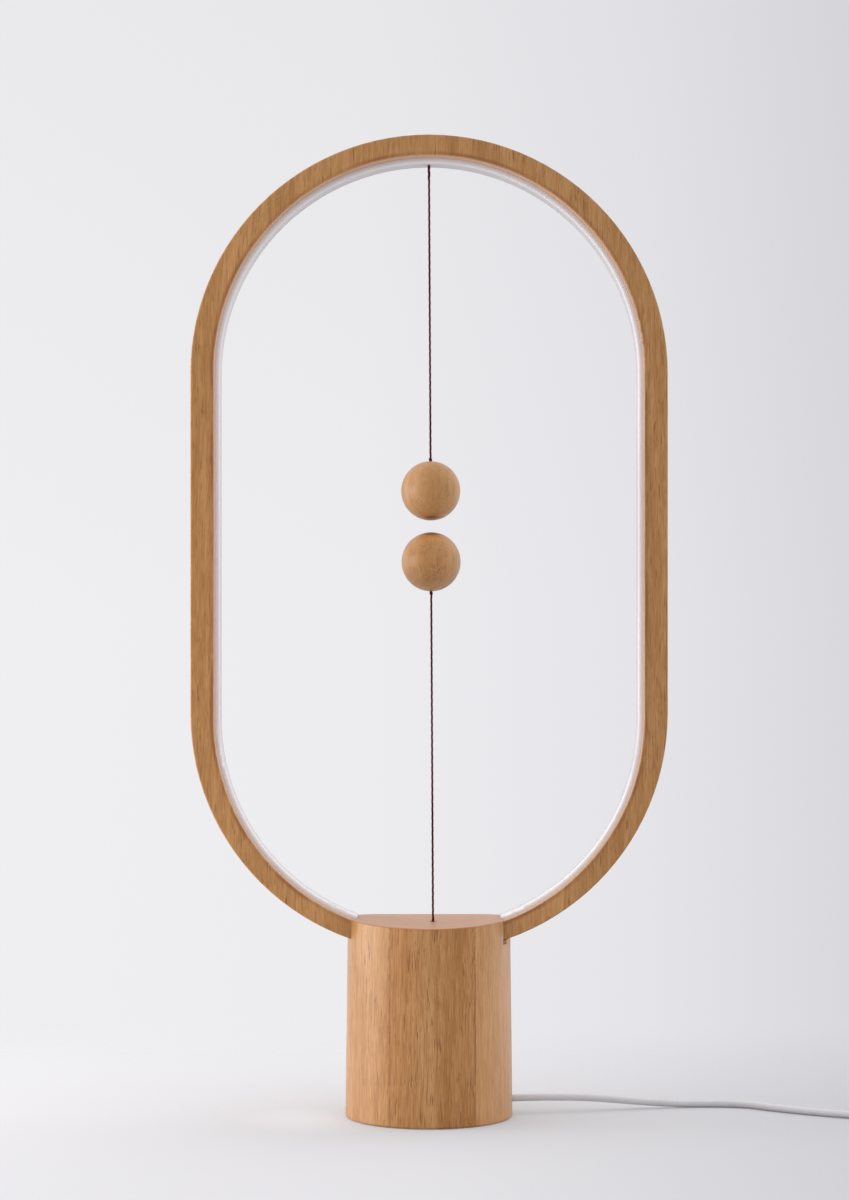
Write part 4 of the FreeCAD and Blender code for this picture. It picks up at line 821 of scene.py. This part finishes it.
# Each outer knot: piece, node, body, and its width, height and thickness.
KNOTS = (
    ("upper_exit_hitch", "upper_exit_knot", "upper_joint", 0.00125, 0.0019, 0.00027),
    ("upper_ball_hitch", "upper_ball_knot", "upper_pendulum", 0.00155, 0.0016, 0.00033),
    ("lower_ball_hitch", "lower_ball_knot", "lower_weight", 0.00155, 0.0016, 0.00033),
    ("lower_stop_hitch", "lower_stop_knot", "lower_joint", 0.0014, 0.0015, 0.00030),
)
KNOT_STEPS, KNOT_SIDES = 96, 10


def stand_for(piece, body, slot, *node_names):
    """The piece moves with the body and takes the place of the nodes, which are hidden. slot is not used."""
    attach(piece, body)
    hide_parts(*node_names)


def thread(name, start, end, tight_ends):
    """A thread of three plies twisted together, between two places along the string. tight_ends gives the
    length at each end over which the knot beside it makes the thread thicker."""
    route = [start.lerp(end, share) for share in (0.0, 0.33, 0.67, 1.0)]
    points = resample(spline_points(route, THREAD_SMOOTHNESS), THREAD_STEP)
    lines = [[] for _ in range(PLIES)]
    travelled, last = 0.0, points[0]
    whole = (end - start).length
    for place, side, other in frames_along(points):
        travelled += (place - last).length
        last = place
        near = max(1 - travelled / tight_ends[0], 1 - (whole - travelled) / tight_ends[1], 0.0)
        reach = (THREAD_RADIUS - PLY_RADIUS) * (1 + KNOT_SWELL * min(1.0, KNOT_NEARNESS * near))
        for ply, line in enumerate(lines):
            turn = 2 * math.pi * (travelled / PLY_PITCH + ply / PLIES)
            line.append(turned(place, side, other, reach, turn))
    piece = mesh_object(name, *tube_mesh(lines, PLY_RADIUS))
    piece.data.materials.append(finishes["thread_silk"])
    return piece


def knot(name, node_name, width, height, thickness):
    """An overhand knot pulled tight, in the middle of its node, with its axis along the string."""
    low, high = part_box(node_name)
    centre = (Vector(low) + Vector(high)) / 2
    side = DOWN.orthogonal().normalized()
    other = DOWN.cross(side)
    line = []
    for step in range(KNOT_STEPS + 1):
        turn = 2 * math.pi * step / KNOT_STEPS
        across = (math.sin(turn) + 2 * math.sin(2 * turn)) / 3 * (width / 2 - thickness)
        away = (math.cos(turn) - 2 * math.cos(2 * turn)) / 3 * (width / 2 - thickness)
        along = math.sin(3 * turn) * (height / 2 - thickness)
        line.append(centre + side * across + other * away + DOWN * along)
    piece = mesh_object(name, *tube_mesh([line], thickness, KNOT_SIDES))
    piece.data.materials.append(finishes["thread_silk"])
    return piece


upper_thread = thread("upper_string", ANCHOR + DOWN * THREAD_START, ANCHOR + DOWN * UPPER_THREAD_END,
                      tight_ends=(0.0065, 0.004))
stand_for(upper_thread, "upper_pendulum", "thread_burgundy", "upper_thread")
lower_thread = thread("lower_string_twist", STOP - DOWN * THREAD_START, STOP - DOWN * LOWER_THREAD_END,
                      tight_ends=(0.003, 0.009))
stand_for(lower_thread, "lower_string", "thread_burgundy", "lower_thread")
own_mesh(lower_thread)

for knot_name, node_name, body_name, *knot_size in KNOTS:
    stand_for(knot(knot_name, node_name, *knot_size), body_name, "thread_burgundy", node_name)


# ---------------------------------------------------------------- plug and strap

# Sections of the plug's moulding: how far along its axis each is from its start, half its width, half its
# height, and the radius of its corners, in millimetres. First comes the collar round the cable's end.
PLUG_COLLAR = ((2.5, 1.6, 1.6, 1.6), (0.0, 1.6, 1.6, 1.6), (0.0, 1.85, 1.85, 1.85), (0.15, 2.0, 2.0, 2.0))
PLUG_SHOULDER = ((11.6, 3.2, 3.2, 3.2), (12.0, 3.45, 3.3, 3.2), (12.02, 6.6, 2.7, 1.6),
                 (12.35, 7.25, 3.3, 1.5), (12.9, 7.65, 3.7, 1.5), (13.6, 7.85, 3.9, 1.5),
                 (17.0, 7.85, 3.9, 1.5))
PLUG_FRONT = ((30.7, 7.85, 3.9, 1.5), (31.5, 7.62, 3.68, 1.4), (32.0, 7.1, 3.2, 1.2), (32.0, 6.06, 2.31, 0.3),
              (29.0, 6.06, 2.31, 0.3))
# One groove of the grip, from where it starts.
PLUG_GROOVE = ((0.15, 7.62, 3.66, 1.4), (0.75, 7.62, 3.66, 1.4), (0.9, 7.85, 3.9, 1.5), (1.9, 7.85, 3.9, 1.5))
GROOVES, GROOVES_FROM, GROOVE_PITCH = 5, 17.0, 1.9
# The ribs of the strain relief: how far each step is from the rib's start, and how deep.
RIB_STEPS = ((0.0, 0.0), (0.12, 0.34), (0.62, 0.34), (0.74, 0.0))
RIBS_FROM, RIBS_TO, RIB_PITCH = 0.9, 10.5, 1.55
RELIEF_RADIUS, RELIEF_WIDENS, RELIEF_LENGTH = 2.05, 1.15, 12
PLUG_TURN = math.radians(18)

# The strap round the coil, in millimetres: half its thickness, half its width, its corners, and its bends.
STRAP_HALF_THICK, STRAP_HALF_WIDE, STRAP_CORNER, STRAP_BEND = 0.22, 2.0, 0.12, 1.7
STRAP_BEND_STEPS = 8
# Where its beginning lies along Y, and then its end: along Y, and how far above the beginning.
STRAP_BEGINNING = (19.0, 22.0)
STRAP_END = ((17.2, 0.10), (18.0, 0.32), (18.9, 0.46), (21.0, 0.47), (23.5, 0.47), (25.2, 0.50))

SHARP_ANGLE = math.radians(32)
PLUG_CORNER_STEPS, STRAP_CORNER_STEPS = 6, 2


def swept(name, sections, finish_name, corner_steps):
    """A skin over rounded rectangles. Each section has its place, its two directions, half its width and
    half its height along them, and its corner radius."""
    verts = []
    for place, across, up, wide, tall, corner in sections:
        for sx, sy, start in ((1, 1, 0), (-1, 1, 90), (-1, -1, 180), (1, -1, 270)):
            for step in range(corner_steps + 1):
                turn = math.radians(start + 90 * step / corner_steps)
                verts.append(place + across * (sx * (wide - corner) + corner * math.cos(turn))
                             + up * (sy * (tall - corner) + corner * math.sin(turn)))
    piece = mesh_object(name, verts, skin_faces(0, len(sections), 4 * (corner_steps + 1)))
    piece.data.set_sharp_from_angle(angle=SHARP_ANGLE)
    piece.data.materials.append(finishes[finish_name])
    return piece


def plug_cover():
    """The plug's moulding: a ribbed strain relief that widens into a grip with shallow grooves, open in
    front."""
    start = Vector(TAIL_ROUTE[-1])
    axis = Vector((math.cos(PLUG_TURN), math.sin(PLUG_TURN), 0))
    across = axis.cross(UP)
    profile = list(PLUG_COLLAR)
    place = RIBS_FROM
    while place < RIBS_TO:
        for shift, deep in RIB_STEPS:
            reach = RELIEF_RADIUS + RELIEF_WIDENS * (place + shift) / RELIEF_LENGTH - deep
            profile.append((place + shift, reach, reach, reach))
        place += RIB_PITCH
    profile += PLUG_SHOULDER
    for groove in range(GROOVES):
        place = GROOVES_FROM + GROOVE_PITCH * groove
        profile += [(place + far, *section) for far, *section in PLUG_GROOVE]
    profile += PLUG_FRONT
    sections = [(start + axis * (far * MM), across, UP, wide * MM, tall * MM, corner * MM)
                for far, wide, tall, corner in profile]
    return swept("plug_moulding", sections, "plug_grey", PLUG_CORNER_STEPS)


def coil_strap():
    """A soft strap round one side of the coil, with its end laid over its own beginning."""
    low, high = (Vector(corner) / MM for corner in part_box("coil_tie"))
    near, far = low.y + STRAP_HALF_THICK, high.y - STRAP_HALF_THICK
    bottom, top = low.z + STRAP_HALF_THICK, high.z - STRAP_HALF_THICK
    line = [(y, top) for y in STRAP_BEGINNING]
    for corner_y, corner_z, start in ((far - STRAP_BEND, top - STRAP_BEND, 90),
                                      (far - STRAP_BEND, bottom + STRAP_BEND, 0),
                                      (near + STRAP_BEND, bottom + STRAP_BEND, -90),
                                      (near + STRAP_BEND, top - STRAP_BEND, -180)):
        for step in range(STRAP_BEND_STEPS + 1):
            turn = math.radians(start - 90 * step / STRAP_BEND_STEPS)
            line.append((corner_y + STRAP_BEND * math.cos(turn), corner_z + STRAP_BEND * math.sin(turn)))
    line += [(y, top + lift) for y, lift in STRAP_END]
    middle = (low.x + high.x) / 2
    across = Vector((1, 0, 0))
    sections = []
    for index, (y, z) in enumerate(line):
        before, after = line[max(index - 1, 0)], line[min(index + 1, len(line) - 1)]
        along = Vector((0, after[0] - before[0], after[1] - before[1])).normalized()
        sections.append((Vector((middle, y, z)) * MM, across, along.cross(across), STRAP_HALF_WIDE * MM,
                         STRAP_HALF_THICK * MM, STRAP_CORNER * MM))
    return swept("coil_strap", sections, "strap_felt", STRAP_CORNER_STEPS)


cable.data.materials.append(finishes["cable_jacket"])
moulding, strap = plug_cover(), coil_strap()
stand_for(cable, "stand", "cable_grey", "power_cable", "power_cable_coil", "power_cable_tail")
stand_for(moulding, "stand", "plug_grey", "usb_plug_body")
stand_for(strap, "stand", "white_plastic", "coil_tie")
